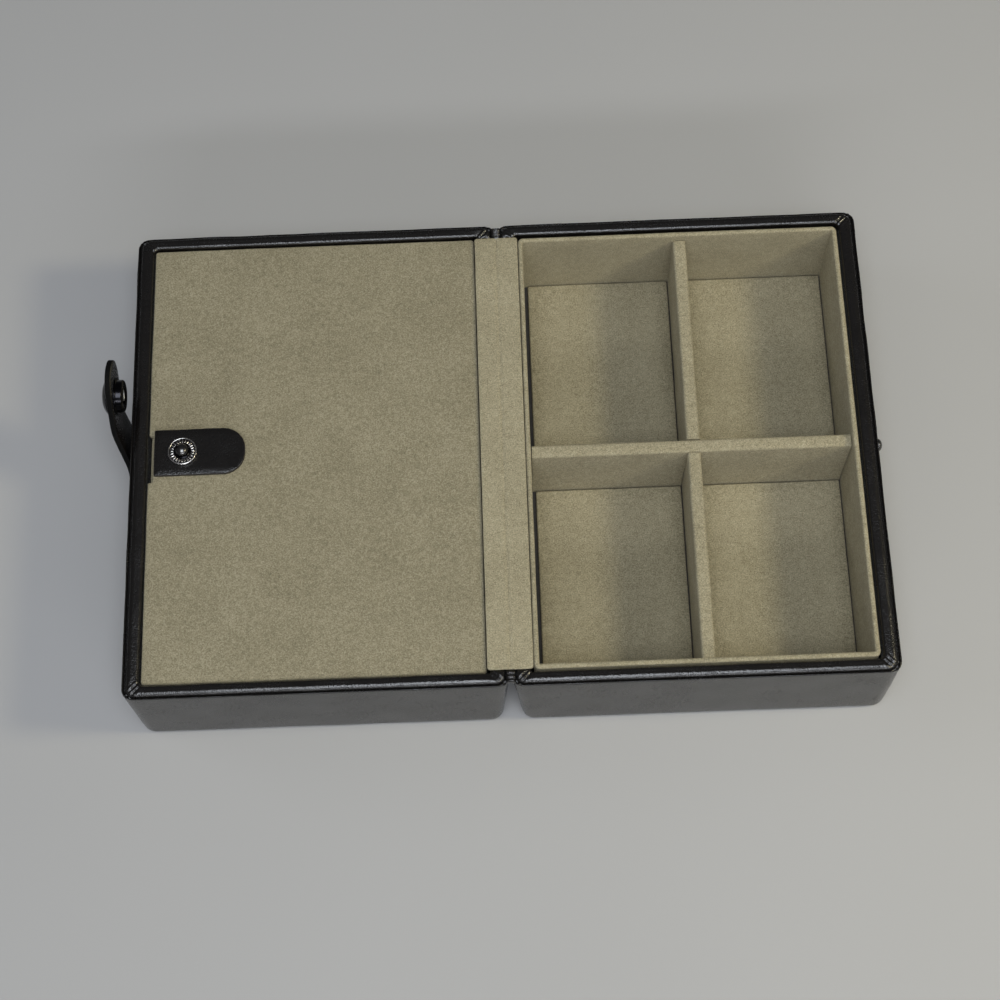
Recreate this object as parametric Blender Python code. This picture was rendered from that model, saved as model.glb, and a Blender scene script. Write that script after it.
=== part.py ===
"""Travel jewellery box, opened flat like a book.

Two leather covered halves share a soft hinge. The base half holds a suede tray with four
compartments, the lid half a suede cover panel over a shallow hollow, and a strap on the lid
snaps onto a stud on the base when the box is shut.

Units are metres and +Z is up. The origin is the middle of the base half's underside. X runs
from the lid to the base and Y along the hinge. Inside each half, u is the distance from the
hinge line and an inset is the distance in from the half's outer faces.
"""

import math

import bmesh
import bpy
from mathutils import Matrix, Vector

# Sizes of one half
HALF_WIDTH = 0.117
CASE_DEPTH = 0.158
CASE_HEIGHT = 0.037
CORNER_RADIUS = 0.0045
INNER_CORNER_RADIUS = 0.0012
BOTTOM_RADIUS = 0.0033
SEAM_GAP = 0.0003
FIT_GAP = 0.0003

# The wall beside the hinge leans away from it, which leaves a wedge between the open halves
HINGE_SIDE_GAP = 0.0010
HINGE_SIDE_DRAFT = 0.0020

# Leather cover and the board that it is wrapped round
LEATHER_THICKNESS = 0.0012
BOARD_THICKNESS = 0.0025
BOARD_DROP = 0.0042
RIM_SETBACK = 0.0013
RIM_WIDTH = 0.0040
RIM_HEIGHT = 0.0022
RIM_ROLL = 0.0015
CREASE_DEPTH = 0.0004
CREASE_WIDTH = 0.0005
TURN_IN_DEPTH = 0.0090

# Soft hinge
HINGE_SUEDE_WIDTH = 0.0066
HINGE_SUEDE_THICKNESS = 0.0008
HINGE_LEATHER_THICKNESS = 0.0010
HINGE_LEATHER_MARGIN = 0.0004
HINGE_END_RADIUS = 0.0009

# Suede liner walls and pads
LINER_GAP = 0.0008
LINER_THICKNESS = 0.0016
LINER_CORNER_RADIUS = 0.0030
LINER_EDGE = 0.0005
TRAY_DROP = 0.0006
PAD_THICKNESS = 0.0016
PAD_EDGE = 0.0004
PAD_SIDE_GAP = 0.0004
PAD_OPEN_GAP = 0.0009

# Dividers of the tray
DIVIDER_THICKNESS = 0.0042
DIVIDER_DROP = 0.0034
DIVIDER_EDGE = 0.0015
LONG_DIVIDER_OFFSET = -0.0015
CROSS_DIVIDER_OFFSET = 0.0008

# Cover panel of the lid
PANEL_DROP = 0.0012
PANEL_GAP = 0.0004
PANEL_HINGE_GROOVE = 0.0006
PANEL_SKIN = 0.0007
PANEL_CARD = 0.0014
PANEL_EDGE = 0.0003
PANEL_CORNER_RADIUS = 0.0020
NOTCH_WIDTH = 0.0158
NOTCH_DEPTH = 0.0016

# Leather tab on the cover panel
TAB_OFFSET = 0.0015
TAB_LENGTH = 0.0286
TAB_WIDTH = 0.0155
TAB_THICKNESS = 0.0009
TAB_END = 0.0068
TAB_FROM_NOTCH = 0.0004
TAB_EDGE = 0.0002
TAB_STUD_FROM_END = 0.0090

# Snap stud, the same on the tab and on the base's wall
STUD_RADIUS = 0.0046
STUD_HEIGHT = 0.0030
STUD_PLATE = 0.0004
STUD_LIP_HEIGHT = 0.00075
STUD_LIP_WIDTH = 0.0006
STUD_NECK_RADIUS = 0.0019
STUD_BALL_RADIUS = 0.0024
STUD_CROWN = 0.0009
STUD_RIB_HEIGHT = 0.00025
STUD_RIB_SHARES = (0.25, 0.8)
STUD_RIBS = 24
STUD_BORE_DEPTH = 0.0016
STUD_DROP = 0.0125

# Rivet posts that hold the snaps, and the rivet at the strap's root
POST_RADIUS = 0.0012
POST_HEAD_RADIUS = 0.0030
POST_HEAD_THICKNESS = 0.0007
RIVET_DOME_RADIUS = 0.0040
RIVET_DOME_HEIGHT = 0.0012
RIVET_DROP = 0.0220

# Closure strap
STRAP_WIDTH = 0.0150
STRAP_THICKNESS = 0.0018
STRAP_EDGE = 0.0005
STRAP_FOLD = 0.0090
STRAP_RISE = 0.0195
STRAP_EASE_SHARE = 0.3
STRAP_TIP = 0.0120
STRAP_END_TURN = math.radians(84)
STRAP_SKEW = math.radians(31)
STRAP_LEAN = math.radians(1.8)

# Snap socket and its cap on the strap
SOCKET_RADIUS = 0.0059
SOCKET_BODY_RADIUS = 0.0052
SOCKET_HEIGHT = 0.0026
SOCKET_FLANGE = 0.0006
SOCKET_LIP = 0.0003
SOCKET_GROOVE = 0.0010
SOCKET_GROOVE_RADIUS = 0.0036
SOCKET_FLOOR = 0.00035
SOCKET_EDGE = 0.0006
MOUTH_GAP = 0.00035
SPRING_WIRE = 0.00025
SPRING_GAP = 0.0002
SPRING_OPENING = math.radians(50)
CAP_RADIUS = 0.0058
CAP_HEIGHT = 0.0021
CAP_RIM = 0.0005

# Smoothness
CORNER_STEPS = 5
ROUND_STEPS = 3
END_STEPS = 6
RISE_STEPS = 8
TURN_STEPS = 32
HOLE_STEPS = 20
SHARP_ANGLE = math.radians(35)
WELD = 1e-7
OVERRUN = 0.0020

BASE, LID = 1, -1

# Places that follow from the sizes
HINGE_X = -(HINGE_SIDE_GAP + HINGE_SIDE_DRAFT + HALF_WIDTH) / 2
HINGE_Z = CASE_HEIGHT + SEAM_GAP / 2
BOARD_INSET = LEATHER_THICKNESS + FIT_GAP
BOARD_INNER = BOARD_INSET + BOARD_THICKNESS
BOARD_FLOOR = BOARD_INSET + BOARD_THICKNESS
BOARD_TOP = CASE_HEIGHT - BOARD_DROP
RIM_INNER = RIM_SETBACK + RIM_WIDTH
CREASE_Z = CASE_HEIGHT - RIM_HEIGHT
LINER_INSET = RIM_INNER + LINER_GAP
LINER_INNER = LINER_INSET + LINER_THICKNESS
LINER_BOTTOM = BOARD_FLOOR + FIT_GAP
TRAY_TOP = CASE_HEIGHT - TRAY_DROP
TRAY_LOW_U = HINGE_SIDE_GAP + LINER_INNER
TRAY_HIGH_U = HALF_WIDTH - LINER_INNER
TRAY_HALF_Y = CASE_DEPTH / 2 - LINER_INNER
DIVIDER_TOP = CASE_HEIGHT - DIVIDER_DROP
DIVIDER_BOTTOM = LINER_BOTTOM
CROSS_DIVIDER_U = (TRAY_LOW_U + TRAY_HIGH_U) / 2 + CROSS_DIVIDER_OFFSET
HINGE_STRIP_SEAT = CASE_HEIGHT - HINGE_SUEDE_THICKNESS - FIT_GAP
HINGE_SUEDE_HALF = CASE_DEPTH / 2 - LINER_INSET
PANEL_TOP = CASE_HEIGHT - PANEL_DROP
PANEL_CARD_TOP = PANEL_TOP - PANEL_SKIN - FIT_GAP
PANEL_BOTTOM = PANEL_CARD_TOP - PANEL_CARD
PANEL_LOW_U = HINGE_SUEDE_WIDTH + PANEL_HINGE_GROOVE
PANEL_HIGH_U = HALF_WIDTH - RIM_INNER - PANEL_GAP
PANEL_HALF_Y = CASE_DEPTH / 2 - RIM_INNER - PANEL_GAP
TAB_OUTER_U = PANEL_HIGH_U - NOTCH_DEPTH - TAB_FROM_NOTCH
TAB_BOTTOM = PANEL_TOP + FIT_GAP
TAB_TOP = TAB_BOTTOM + TAB_THICKNESS
TAB_STUD_U = TAB_OUTER_U - TAB_STUD_FROM_END
HOLE_RADIUS = POST_RADIUS + FIT_GAP
SOCKET_ALONG = RIVET_DROP + STUD_DROP + SEAM_GAP
MOUTH_PLANE = FIT_GAP + STUD_LIP_HEIGHT + FIT_GAP
STRAP_REACH = MOUTH_PLANE + SOCKET_HEIGHT
STRAP_ROOT_OUTER = FIT_GAP + STRAP_THICKNESS


def clear_scene():
    for item in list(bpy.data.objects):
        bpy.data.objects.remove(item)


def plain_material(name, colour, roughness, metallic=0.0):
    material = bpy.data.materials.new(name)
    material.use_nodes = True
    shader = material.node_tree.nodes["Principled BSDF"]
    shader.inputs["Base Color"].default_value = (*colour, 1)
    shader.inputs["Roughness"].default_value = roughness
    shader.inputs["Metallic"].default_value = metallic
    return material


def axis_empty(name, place, parent=None):
    """An empty on a joint's axis, which carries the pieces that turn there."""
    empty = bpy.data.objects.new(name, None)
    bpy.context.collection.objects.link(empty)
    empty.parent = parent
    empty.matrix_local = place
    return empty


def keep(name, mesh, material, carrier):
    """Close a mesh's normals outward and hang it on its carrier, whose origin it shares."""
    bmesh.ops.remove_doubles(mesh, verts=mesh.verts, dist=WELD)
    bmesh.ops.recalc_face_normals(mesh, faces=mesh.faces)
    data = bpy.data.meshes.new(name)
    mesh.to_mesh(data)
    mesh.free()
    data.materials.append(material)
    data.shade_smooth()
    data.set_sharp_from_angle(angle=SHARP_ANGLE)
    piece = bpy.data.objects.new(name, data)
    bpy.context.collection.objects.link(piece)
    piece.parent = carrier
    return piece


def cut(piece, cutter):
    """Take a cutter out of a piece and leave the cutter as a hidden guide."""
    cutter.hide_render = True
    cutter.display_type = "WIRE"
    step = piece.modifiers.new(cutter.name, "BOOLEAN")
    step.operation = "DIFFERENCE"
    step.object = cutter


def soften(piece, width, segments=2):
    step = piece.modifiers.new("soft_edges", "BEVEL")
    step.width = width
    step.segments = segments
    step.limit_method = "ANGLE"
    step.angle_limit = SHARP_ANGLE


def arc(centre, radii, start, end, steps):
    """Points on an ellipse's arc, both ends included."""
    points = []
    for step in range(steps + 1):
        angle = math.radians(start + (end - start) * step / steps)
        points.append((centre[0] + radii[0] * math.cos(angle), centre[1] + radii[1] * math.sin(angle)))
    return points


def rounded_rectangle(low_u, high_u, half_y, radius):
    points = []
    corners = ((high_u, half_y, 0), (low_u, half_y, 90), (low_u, -half_y, 180), (high_u, -half_y, 270))
    for u, y, start in corners:
        toward_u = -radius if u == high_u else radius
        toward_y = -radius if y == half_y else radius
        centre = (u + toward_u, y + toward_y)
        points += arc(centre, (radius, radius), start, start + 90, CORNER_STEPS)
    return points


def ring_loft(rings, closed=False):
    """A skin through equal rings of points, capped at both ends or closed back on itself."""
    mesh = bmesh.new()
    rows = [[mesh.verts.new(point) for point in ring] for ring in rings]
    count = len(rows[0])
    pairs = list(zip(rows, rows[1:]))
    if closed:
        pairs.append((rows[-1], rows[0]))
    else:
        mesh.faces.new(rows[0])
        mesh.faces.new(rows[-1])
    for first, second in pairs:
        for index in range(count):
            after = (index + 1) % count
            mesh.faces.new((first[index], first[after], second[after], second[index]))
    return mesh


def in_half(side, outline, z):
    """Lift an outline in u and y to its place relative to the hinge empty of its half."""
    carrier_z = HINGE_Z if side == LID else 0
    shift = 0 if side == LID else HINGE_X
    return [Vector((shift + side * u, y, z - carrier_z)) for u, y in outline]


def block(side, low, high):
    """A box in a half, from two corners in u, y and z."""
    corners = [(low[0], low[1]), (high[0], low[1]), (high[0], high[1]), (low[0], high[1])]
    return ring_loft([in_half(side, corners, low[2]), in_half(side, corners, high[2])])


def hinge_side_u(z):
    """How far the wall beside the hinge stands from the hinge line at a height."""
    return HINGE_SIDE_GAP + HINGE_SIDE_DRAFT * (CASE_HEIGHT - z) / CASE_HEIGHT


def wall_ring(side, inset, z):
    """The case's outline at a height, set in from its outer faces."""
    radius = max(CORNER_RADIUS - inset, INNER_CORNER_RADIUS)
    outline = rounded_rectangle(hinge_side_u(z) + inset, HALF_WIDTH - inset, CASE_DEPTH / 2 - inset, radius)
    return in_half(side, outline, z)


def liner_outline(inset, radius):
    """A suede liner's outline, upright on all four sides."""
    low = HINGE_SIDE_GAP + LINER_INSET + inset
    high = HALF_WIDTH - LINER_INSET - inset
    return rounded_rectangle(low, high, CASE_DEPTH / 2 - LINER_INSET - inset, radius)


def turned(profile, place, ribs=0, rib_height=0.0):
    """Spin a profile of radius, height and ribbed flag round its own axis, then place it.

    A ribbed point rises on every other step, which raises one rib between two valleys.
    """
    steps = ribs * 2 if ribs else TURN_STEPS
    mesh = bmesh.new()
    verts = [mesh.verts.new((point[0], 0, point[1])) for point in profile]
    edges = [mesh.edges.new(pair) for pair in zip(verts, verts[1:])]
    if profile[0][0] > 0:
        edges.append(mesh.edges.new((verts[-1], verts[0])))
    ribbed = {(round(p[0] / WELD), round(p[1] / WELD)) for p in profile if len(p) > 2}
    bmesh.ops.spin(
        mesh, geom=verts + edges, cent=(0, 0, 0), axis=(0, 0, 1), angle=2 * math.pi, steps=steps
    )
    bmesh.ops.remove_doubles(mesh, verts=mesh.verts, dist=WELD)
    for vert in mesh.verts:
        radius = math.hypot(vert.co.x, vert.co.y)
        turn = round(math.atan2(vert.co.y, vert.co.x) / (2 * math.pi) * steps)
        if turn % 2 and any(abs(radius - r * WELD) < 2 * WELD and abs(vert.co.z - z * WELD) < 2 * WELD
                            for r, z in ribbed):
            vert.co.z += rib_height
    bmesh.ops.transform(mesh, matrix=place, verts=mesh.verts)
    return mesh


def drill(name, radius, low, high, place, carrier):
    """A round cutter between two heights on a placed axis."""
    mesh = bmesh.new()
    bmesh.ops.create_cone(
        mesh, cap_ends=True, segments=HOLE_STEPS, radius1=radius, radius2=radius, depth=high - low,
        matrix=place @ Matrix.Translation((0, 0, (low + high) / 2)),
    )
    return keep(name, mesh, None, carrier)


def case_board(side, name, material, carrier):
    """The stiff box inside the leather: four walls and a floor."""
    rings = [
        wall_ring(side, BOARD_INSET, BOARD_INSET),
        wall_ring(side, BOARD_INSET, BOARD_TOP),
        wall_ring(side, BOARD_INNER, BOARD_TOP),
        wall_ring(side, BOARD_INNER, BOARD_FLOOR),
    ]
    return keep(name, ring_loft(rings), material, carrier)


def cover_profile():
    """The leather's section, from the underside up the wall, over the rolled rim and down inside."""
    shoulder_z = CREASE_Z - RIM_SETBACK
    roll_z = CASE_HEIGHT - RIM_ROLL
    turn_in_z = CASE_HEIGHT - TURN_IN_DEPTH
    turn_in_face = BOARD_INNER + FIT_GAP
    pocket_top = BOARD_TOP + FIT_GAP
    profile = arc((BOTTOM_RADIUS, BOTTOM_RADIUS), (BOTTOM_RADIUS, BOTTOM_RADIUS), 270, 180, ROUND_STEPS)
    profile += arc((RIM_SETBACK, shoulder_z), (RIM_SETBACK, RIM_SETBACK), 180, 90, ROUND_STEPS)
    profile += [(RIM_SETBACK + CREASE_DEPTH, CREASE_Z), (RIM_SETBACK, CREASE_Z + CREASE_WIDTH)]
    profile += arc((RIM_SETBACK + RIM_ROLL, roll_z), (RIM_ROLL, RIM_ROLL), 180, 90, ROUND_STEPS)
    profile += arc((RIM_INNER - RIM_ROLL, roll_z), (RIM_ROLL, RIM_ROLL), 90, 0, ROUND_STEPS)
    profile += [(RIM_INNER, turn_in_z), (turn_in_face, turn_in_z)]
    profile += [(turn_in_face, pocket_top), (LEATHER_THICKNESS, pocket_top)]
    profile += [(LEATHER_THICKNESS, LEATHER_THICKNESS)]
    return profile


def case_cover(side, name, material, carrier):
    """One half's leather, with the rim beside the hinge let down for the suede strip."""
    rings = [wall_ring(side, inset, z) for inset, z in cover_profile()]
    cover = keep(name, ring_loft(rings), material, carrier)
    low = (-OVERRUN, -HINGE_SUEDE_HALF - FIT_GAP, HINGE_STRIP_SEAT)
    high = (HINGE_SIDE_GAP + LINER_INSET, HINGE_SUEDE_HALF + FIT_GAP, CASE_HEIGHT + OVERRUN)
    cut(cover, keep(name + "_strip_seat", block(side, low, high), None, carrier))
    return cover


def hinge_suede(side, name, material, carrier):
    """Half of the suede strip over the hinge, with rounded corners at its outer ends."""
    radius = HINGE_END_RADIUS
    outline = [(SEAM_GAP / 2, -HINGE_SUEDE_HALF), (SEAM_GAP / 2, HINGE_SUEDE_HALF)]
    corner_u = HINGE_SUEDE_WIDTH - radius
    corner_y = HINGE_SUEDE_HALF - radius
    outline += arc((corner_u, corner_y), (radius, radius), 90, 0, CORNER_STEPS)
    outline += arc((corner_u, -corner_y), (radius, radius), 0, -90, CORNER_STEPS)
    low = CASE_HEIGHT - HINGE_SUEDE_THICKNESS
    rings = [in_half(side, outline, low), in_half(side, outline, CASE_HEIGHT)]
    return keep(name, ring_loft(rings), material, carrier)


def hinge_leather(side, name, material, carrier):
    """Half of the leather band that joins the two covers under the suede strip."""
    top = HINGE_STRIP_SEAT
    half_y = CASE_DEPTH / 2 - RIM_SETBACK
    high_u = HINGE_SIDE_GAP + RIM_SETBACK - HINGE_LEATHER_MARGIN
    low = (SEAM_GAP / 2, -half_y, top - HINGE_LEATHER_THICKNESS)
    return keep(name, block(side, low, (high_u, half_y, top)), material, carrier)


def liner_walls(side, name, top, material, carrier):
    """Four suede covered walls in one ring, rounded along their top edge."""
    outer = LINER_CORNER_RADIUS
    inner = max(LINER_CORNER_RADIUS - LINER_THICKNESS, INNER_CORNER_RADIUS)
    sections = [(0, LINER_BOTTOM, outer), (0, top - LINER_EDGE, outer), (LINER_EDGE, top, outer)]
    sections += [(LINER_THICKNESS - LINER_EDGE, top, inner)]
    sections += [(LINER_THICKNESS, top - LINER_EDGE, inner), (LINER_THICKNESS, LINER_BOTTOM, inner)]
    rings = [in_half(side, liner_outline(inset, radius), z) for inset, z, radius in sections]
    return keep(name, ring_loft(rings, closed=True), material, carrier)


def floor_pad(side, name, low, high, material, carrier):
    """A suede covered floor card between two corners in u and y."""
    floor = LINER_BOTTOM
    corner_low = (low[0], low[1], floor)
    corner_high = (high[0], high[1], floor + PAD_THICKNESS)
    pad = keep(name, block(side, corner_low, corner_high), material, carrier)
    soften(pad, PAD_EDGE)
    return pad


def divider_section(middle):
    """A divider's upright section: flat foot, straight sides and a rounded top."""
    half = DIVIDER_THICKNESS / 2
    radii = (DIVIDER_EDGE, DIVIDER_EDGE)
    corner_z = DIVIDER_TOP - DIVIDER_EDGE
    section = [(middle - half, DIVIDER_BOTTOM), (middle + half, DIVIDER_BOTTOM)]
    section += arc((middle + half - DIVIDER_EDGE, corner_z), radii, 0, 90, ROUND_STEPS)
    section += arc((middle - half + DIVIDER_EDGE, corner_z), radii, 90, 180, ROUND_STEPS)
    return section


def dividers(material, carrier):
    """Two suede boards halved into each other: the long one is slotted from below."""
    slot_half = DIVIDER_THICKNESS / 2 + FIT_GAP
    middle_z = (DIVIDER_TOP + DIVIDER_BOTTOM) / 2
    low_u = TRAY_LOW_U + FIT_GAP
    high_u = TRAY_HIGH_U - FIT_GAP
    half_y = TRAY_HALF_Y - FIT_GAP

    section = divider_section(LONG_DIVIDER_OFFSET)
    rings = [[Vector((HINGE_X + u, y, z)) for y, z in section] for u in (low_u, high_u)]
    long_one = keep("long_divider", ring_loft(rings), material, carrier)
    low = (CROSS_DIVIDER_U - slot_half, -OVERRUN + LONG_DIVIDER_OFFSET - slot_half, DIVIDER_BOTTOM - OVERRUN)
    high = (CROSS_DIVIDER_U + slot_half, OVERRUN + LONG_DIVIDER_OFFSET + slot_half, middle_z + FIT_GAP / 2)
    cut(long_one, keep("long_divider_slot", block(BASE, low, high), None, carrier))

    section = divider_section(CROSS_DIVIDER_U)
    rings = [[Vector((HINGE_X + u, y, z)) for u, z in section] for y in (-half_y, half_y)]
    cross = keep("cross_divider", ring_loft(rings), material, carrier)
    low = (CROSS_DIVIDER_U - slot_half - OVERRUN, LONG_DIVIDER_OFFSET - slot_half, middle_z - FIT_GAP / 2)
    high = (CROSS_DIVIDER_U + slot_half + OVERRUN, LONG_DIVIDER_OFFSET + slot_half, DIVIDER_TOP + OVERRUN)
    cut(cross, keep("cross_divider_slot", block(BASE, low, high), None, carrier))


def tray_pads(material, carrier):
    """One floor card in each compartment, short of the wall on the side nearer the hinge."""
    half = DIVIDER_THICKNESS / 2
    columns = ((TRAY_LOW_U, CROSS_DIVIDER_U - half), (CROSS_DIVIDER_U + half, TRAY_HIGH_U))
    rows = ((-TRAY_HALF_Y, LONG_DIVIDER_OFFSET - half), (LONG_DIVIDER_OFFSET + half, TRAY_HALF_Y))
    number = 0
    for low_u, high_u in columns:
        for low_y, high_y in rows:
            number += 1
            low = (low_u + PAD_OPEN_GAP, low_y + PAD_SIDE_GAP)
            high = (high_u - PAD_SIDE_GAP, high_y - PAD_SIDE_GAP)
            floor_pad(BASE, f"tray_floor_pad_{number}", low, high, material, carrier)


def panel_outline(inset):
    """The cover panel's outline with its finger notch, drawn in by an inset all round."""
    low = PANEL_LOW_U + inset
    high = PANEL_HIGH_U - inset
    half_y = PANEL_HALF_Y - inset
    notch_half = NOTCH_WIDTH / 2 + inset
    corners = rounded_rectangle(low, high, half_y, PANEL_CORNER_RADIUS - inset)
    notch = [(high, -notch_half), (high - NOTCH_DEPTH, -notch_half)]
    notch += [(high - NOTCH_DEPTH, notch_half), (high, notch_half)]
    return corners + notch


def cover_panel(skin_material, card_material, carrier):
    """A card wrapped in suede, which lies level with the lid's rim over the lid's hollow."""
    sections = [(PANEL_SKIN, PANEL_BOTTOM), (0, PANEL_BOTTOM), (0, PANEL_TOP - PANEL_EDGE)]
    sections += [(PANEL_EDGE, PANEL_TOP)]
    rings = [in_half(LID, panel_outline(inset), z) for inset, z in sections]
    rings.insert(0, in_half(LID, panel_outline(PANEL_SKIN), PANEL_TOP - PANEL_SKIN))
    skin = keep("cover_panel_suede", ring_loft(rings), skin_material, carrier)
    card_inset = PANEL_SKIN + FIT_GAP
    rings = [in_half(LID, panel_outline(card_inset), z) for z in (PANEL_BOTTOM, PANEL_CARD_TOP)]
    card = keep("cover_panel_card", ring_loft(rings), card_material, carrier)
    hole = drill("panel_post_hole", HOLE_RADIUS, -OVERRUN, PANEL_TOP - PANEL_BOTTOM + OVERRUN,
                 tab_stud_place(PANEL_BOTTOM), carrier)
    cut(skin, hole)
    cut(card, hole)


def tab_stud_place(z):
    """The tab stud's axis, with its own height measured up from z."""
    return Matrix.Translation(in_half(LID, [(TAB_STUD_U, TAB_OFFSET)], z)[0])


def panel_tab(material, carrier):
    """The leather tab on the panel: a straight end by the notch and a rounded free end."""
    half = TAB_WIDTH / 2
    inner_u = TAB_OUTER_U - TAB_LENGTH + TAB_END
    outline = [(TAB_OUTER_U, TAB_OFFSET - half), (TAB_OUTER_U, TAB_OFFSET + half)]
    outline += arc((inner_u, TAB_OFFSET), (TAB_END, half), 90, 270, CORNER_STEPS * 3)
    rings = [in_half(LID, outline, z) for z in (TAB_BOTTOM, TAB_TOP)]
    tab = keep("panel_tab", ring_loft(rings), material, carrier)
    soften(tab, TAB_EDGE, 1)
    cut(tab, drill("tab_post_hole", HOLE_RADIUS, -OVERRUN, TAB_THICKNESS + OVERRUN,
                   tab_stud_place(TAB_BOTTOM), carrier))


def stud_profile():
    """A pressed stud: hollow under the ball, a ribbed plate and a raised lip round it."""
    bore = POST_RADIUS + FIT_GAP
    lip_inner = STUD_RADIUS - STUD_LIP_WIDTH
    ball_z = STUD_HEIGHT - STUD_CROWN
    neck_z = STUD_PLATE + (ball_z - STUD_PLATE) / 3
    rib_ends = [STUD_NECK_RADIUS + (lip_inner - STUD_NECK_RADIUS) * share for share in STUD_RIB_SHARES]
    profile = [(0, STUD_BORE_DEPTH), (bore, STUD_BORE_DEPTH), (bore, 0), (STUD_RADIUS, 0)]
    profile += [(STUD_RADIUS, STUD_PLATE), (STUD_RADIUS - STUD_LIP_WIDTH / 2, STUD_LIP_HEIGHT)]
    profile += [(lip_inner, STUD_PLATE), (rib_ends[1], STUD_PLATE, True), (rib_ends[0], STUD_PLATE, True)]
    profile += [(STUD_NECK_RADIUS, STUD_PLATE), (STUD_NECK_RADIUS, neck_z), (STUD_BALL_RADIUS, ball_z)]
    crown = arc((0, ball_z), (STUD_BALL_RADIUS, STUD_HEIGHT - ball_z), 30, 90, ROUND_STEPS)
    return profile + crown[:-1] + [(0, STUD_HEIGHT)]


def snap_stud(name, place, material, carrier):
    """The male half of a snap, whose axis is the placed Z and whose back is at height zero."""
    mesh = turned(stud_profile(), place, STUD_RIBS, STUD_RIB_HEIGHT)
    return keep(name, mesh, material, carrier)


def rivet_post(name, place, depth, material, carrier):
    """A rivet from the stud's hollow down through what it clamps, with its head behind."""
    top = STUD_BORE_DEPTH - FIT_GAP
    head_top = -depth - FIT_GAP
    head_bottom = head_top - POST_HEAD_THICKNESS
    profile = [(0, top), (POST_RADIUS, top), (POST_RADIUS, head_top), (POST_HEAD_RADIUS, head_top)]
    profile += [(POST_HEAD_RADIUS, head_bottom), (0, head_bottom)]
    return keep(name, turned(profile, place), material, carrier)


def wall_place(side, drop, outset):
    """An axis that points out of a half's outer wall at a distance below the rim."""
    point = in_half(side, [(HALF_WIDTH + outset, 0)], CASE_HEIGHT - drop)[0]
    return Matrix.Translation(point) @ Matrix.Rotation(math.radians(90) * side, 4, "Y")


def wall_snap(material, post_material, carrier, board, cover):
    """The stud on the base's outer wall, riveted through the leather and the board."""
    place = wall_place(BASE, STUD_DROP, FIT_GAP)
    snap_stud("closure_stud", place, material, carrier)
    rivet_post("closure_stud_post", place, FIT_GAP + BOARD_INNER, post_material, carrier)
    hole = drill("closure_post_hole", HOLE_RADIUS, -BOARD_INNER - OVERRUN, OVERRUN, place, carrier)
    cut(board, hole)
    cut(cover, hole)


def strap_rivet(material, carrier, board, cover):
    """The domed rivet at the strap's root, through the strap, the leather and the board."""
    place = wall_place(LID, RIVET_DROP, 0)
    dome_low = STRAP_ROOT_OUTER + FIT_GAP
    head_top = -BOARD_INNER - FIT_GAP
    head_bottom = head_top - POST_HEAD_THICKNESS
    profile = [(0, head_bottom), (POST_HEAD_RADIUS, head_bottom), (POST_HEAD_RADIUS, head_top)]
    profile += [(POST_RADIUS, head_top), (POST_RADIUS, dome_low)]
    dome = arc((0, dome_low), (RIVET_DOME_RADIUS, RIVET_DOME_HEIGHT), 0, 90, ROUND_STEPS + 1)
    profile += dome[:-1] + [(0, dome_low + RIVET_DOME_HEIGHT)]
    keep("strap_rivet", turned(profile, place), material, carrier)
    hole = drill("rivet_hole", HOLE_RADIUS, -BOARD_INNER - OVERRUN, OVERRUN, place, carrier)
    cut(board, hole)
    cut(cover, hole)


def strap_inner_face(along):
    """How far the strap's inner face stands off the wall, measured up from the rivet."""
    share = min(max((along - STRAP_FOLD) / STRAP_RISE, 0), 1)
    ease = STRAP_EASE_SHARE
    if share < ease:
        risen = share * share / (2 * ease)
    elif share < 1 - ease:
        risen = share - ease / 2
    else:
        risen = 1 - ease - (1 - share) * (1 - share) / (2 * ease)
    return FIT_GAP + (STRAP_REACH - FIT_GAP) * risen / (1 - ease)


def strap_ring(along, half_width, origin):
    """The strap's section at a distance from the rivet, with its edges eased."""
    inner = strap_inner_face(along)
    outer = inner + STRAP_THICKNESS
    edge = min(STRAP_EDGE, half_width / 2)
    corners = [(-half_width, inner + edge), (-half_width + edge, inner), (half_width - edge, inner)]
    corners += [(half_width, inner + edge), (half_width, outer - edge), (half_width - edge, outer)]
    corners += [(-half_width + edge, outer), (-half_width, outer - edge)]
    return [Vector((-outset, across, along)) - origin for across, outset in corners]


def round_end(middle, direction, origin):
    """Strap sections that narrow round one end, from its full width at the middle outward."""
    half = STRAP_WIDTH / 2
    rings = []
    for step in range(END_STEPS + 1):
        turn = STRAP_END_TURN * step / END_STEPS
        rings.append(strap_ring(middle + direction * half * math.sin(turn), half * math.cos(turn), origin))
    return rings


def strap_root(material, carrier):
    """The strap's round root end, which turns on the rivet flat against the lid's wall."""
    rings = round_end(0, -1, Vector())[::-1]
    rings.append(strap_ring(STRAP_FOLD - FIT_GAP, STRAP_WIDTH / 2, Vector()))
    root = keep("strap_root", ring_loft(rings), material, carrier)
    place = Matrix.Rotation(math.radians(-90), 4, "Y")
    cut(root, drill("root_hole", HOLE_RADIUS, -OVERRUN, STRAP_ROOT_OUTER + OVERRUN, place, carrier))


def strap_origin():
    """The fold line across the strap, on its outer face, seen from the rivet."""
    return Vector((-STRAP_ROOT_OUTER, 0, STRAP_FOLD))


def snap_place():
    """The snap's axis on the strap: its Z points in towards the wall from the mouth's plane."""
    point = Vector((-MOUTH_PLANE, 0, SOCKET_ALONG)) - strap_origin()
    return Matrix.Translation(point) @ Matrix.Rotation(math.radians(90), 4, "Y")


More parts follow.
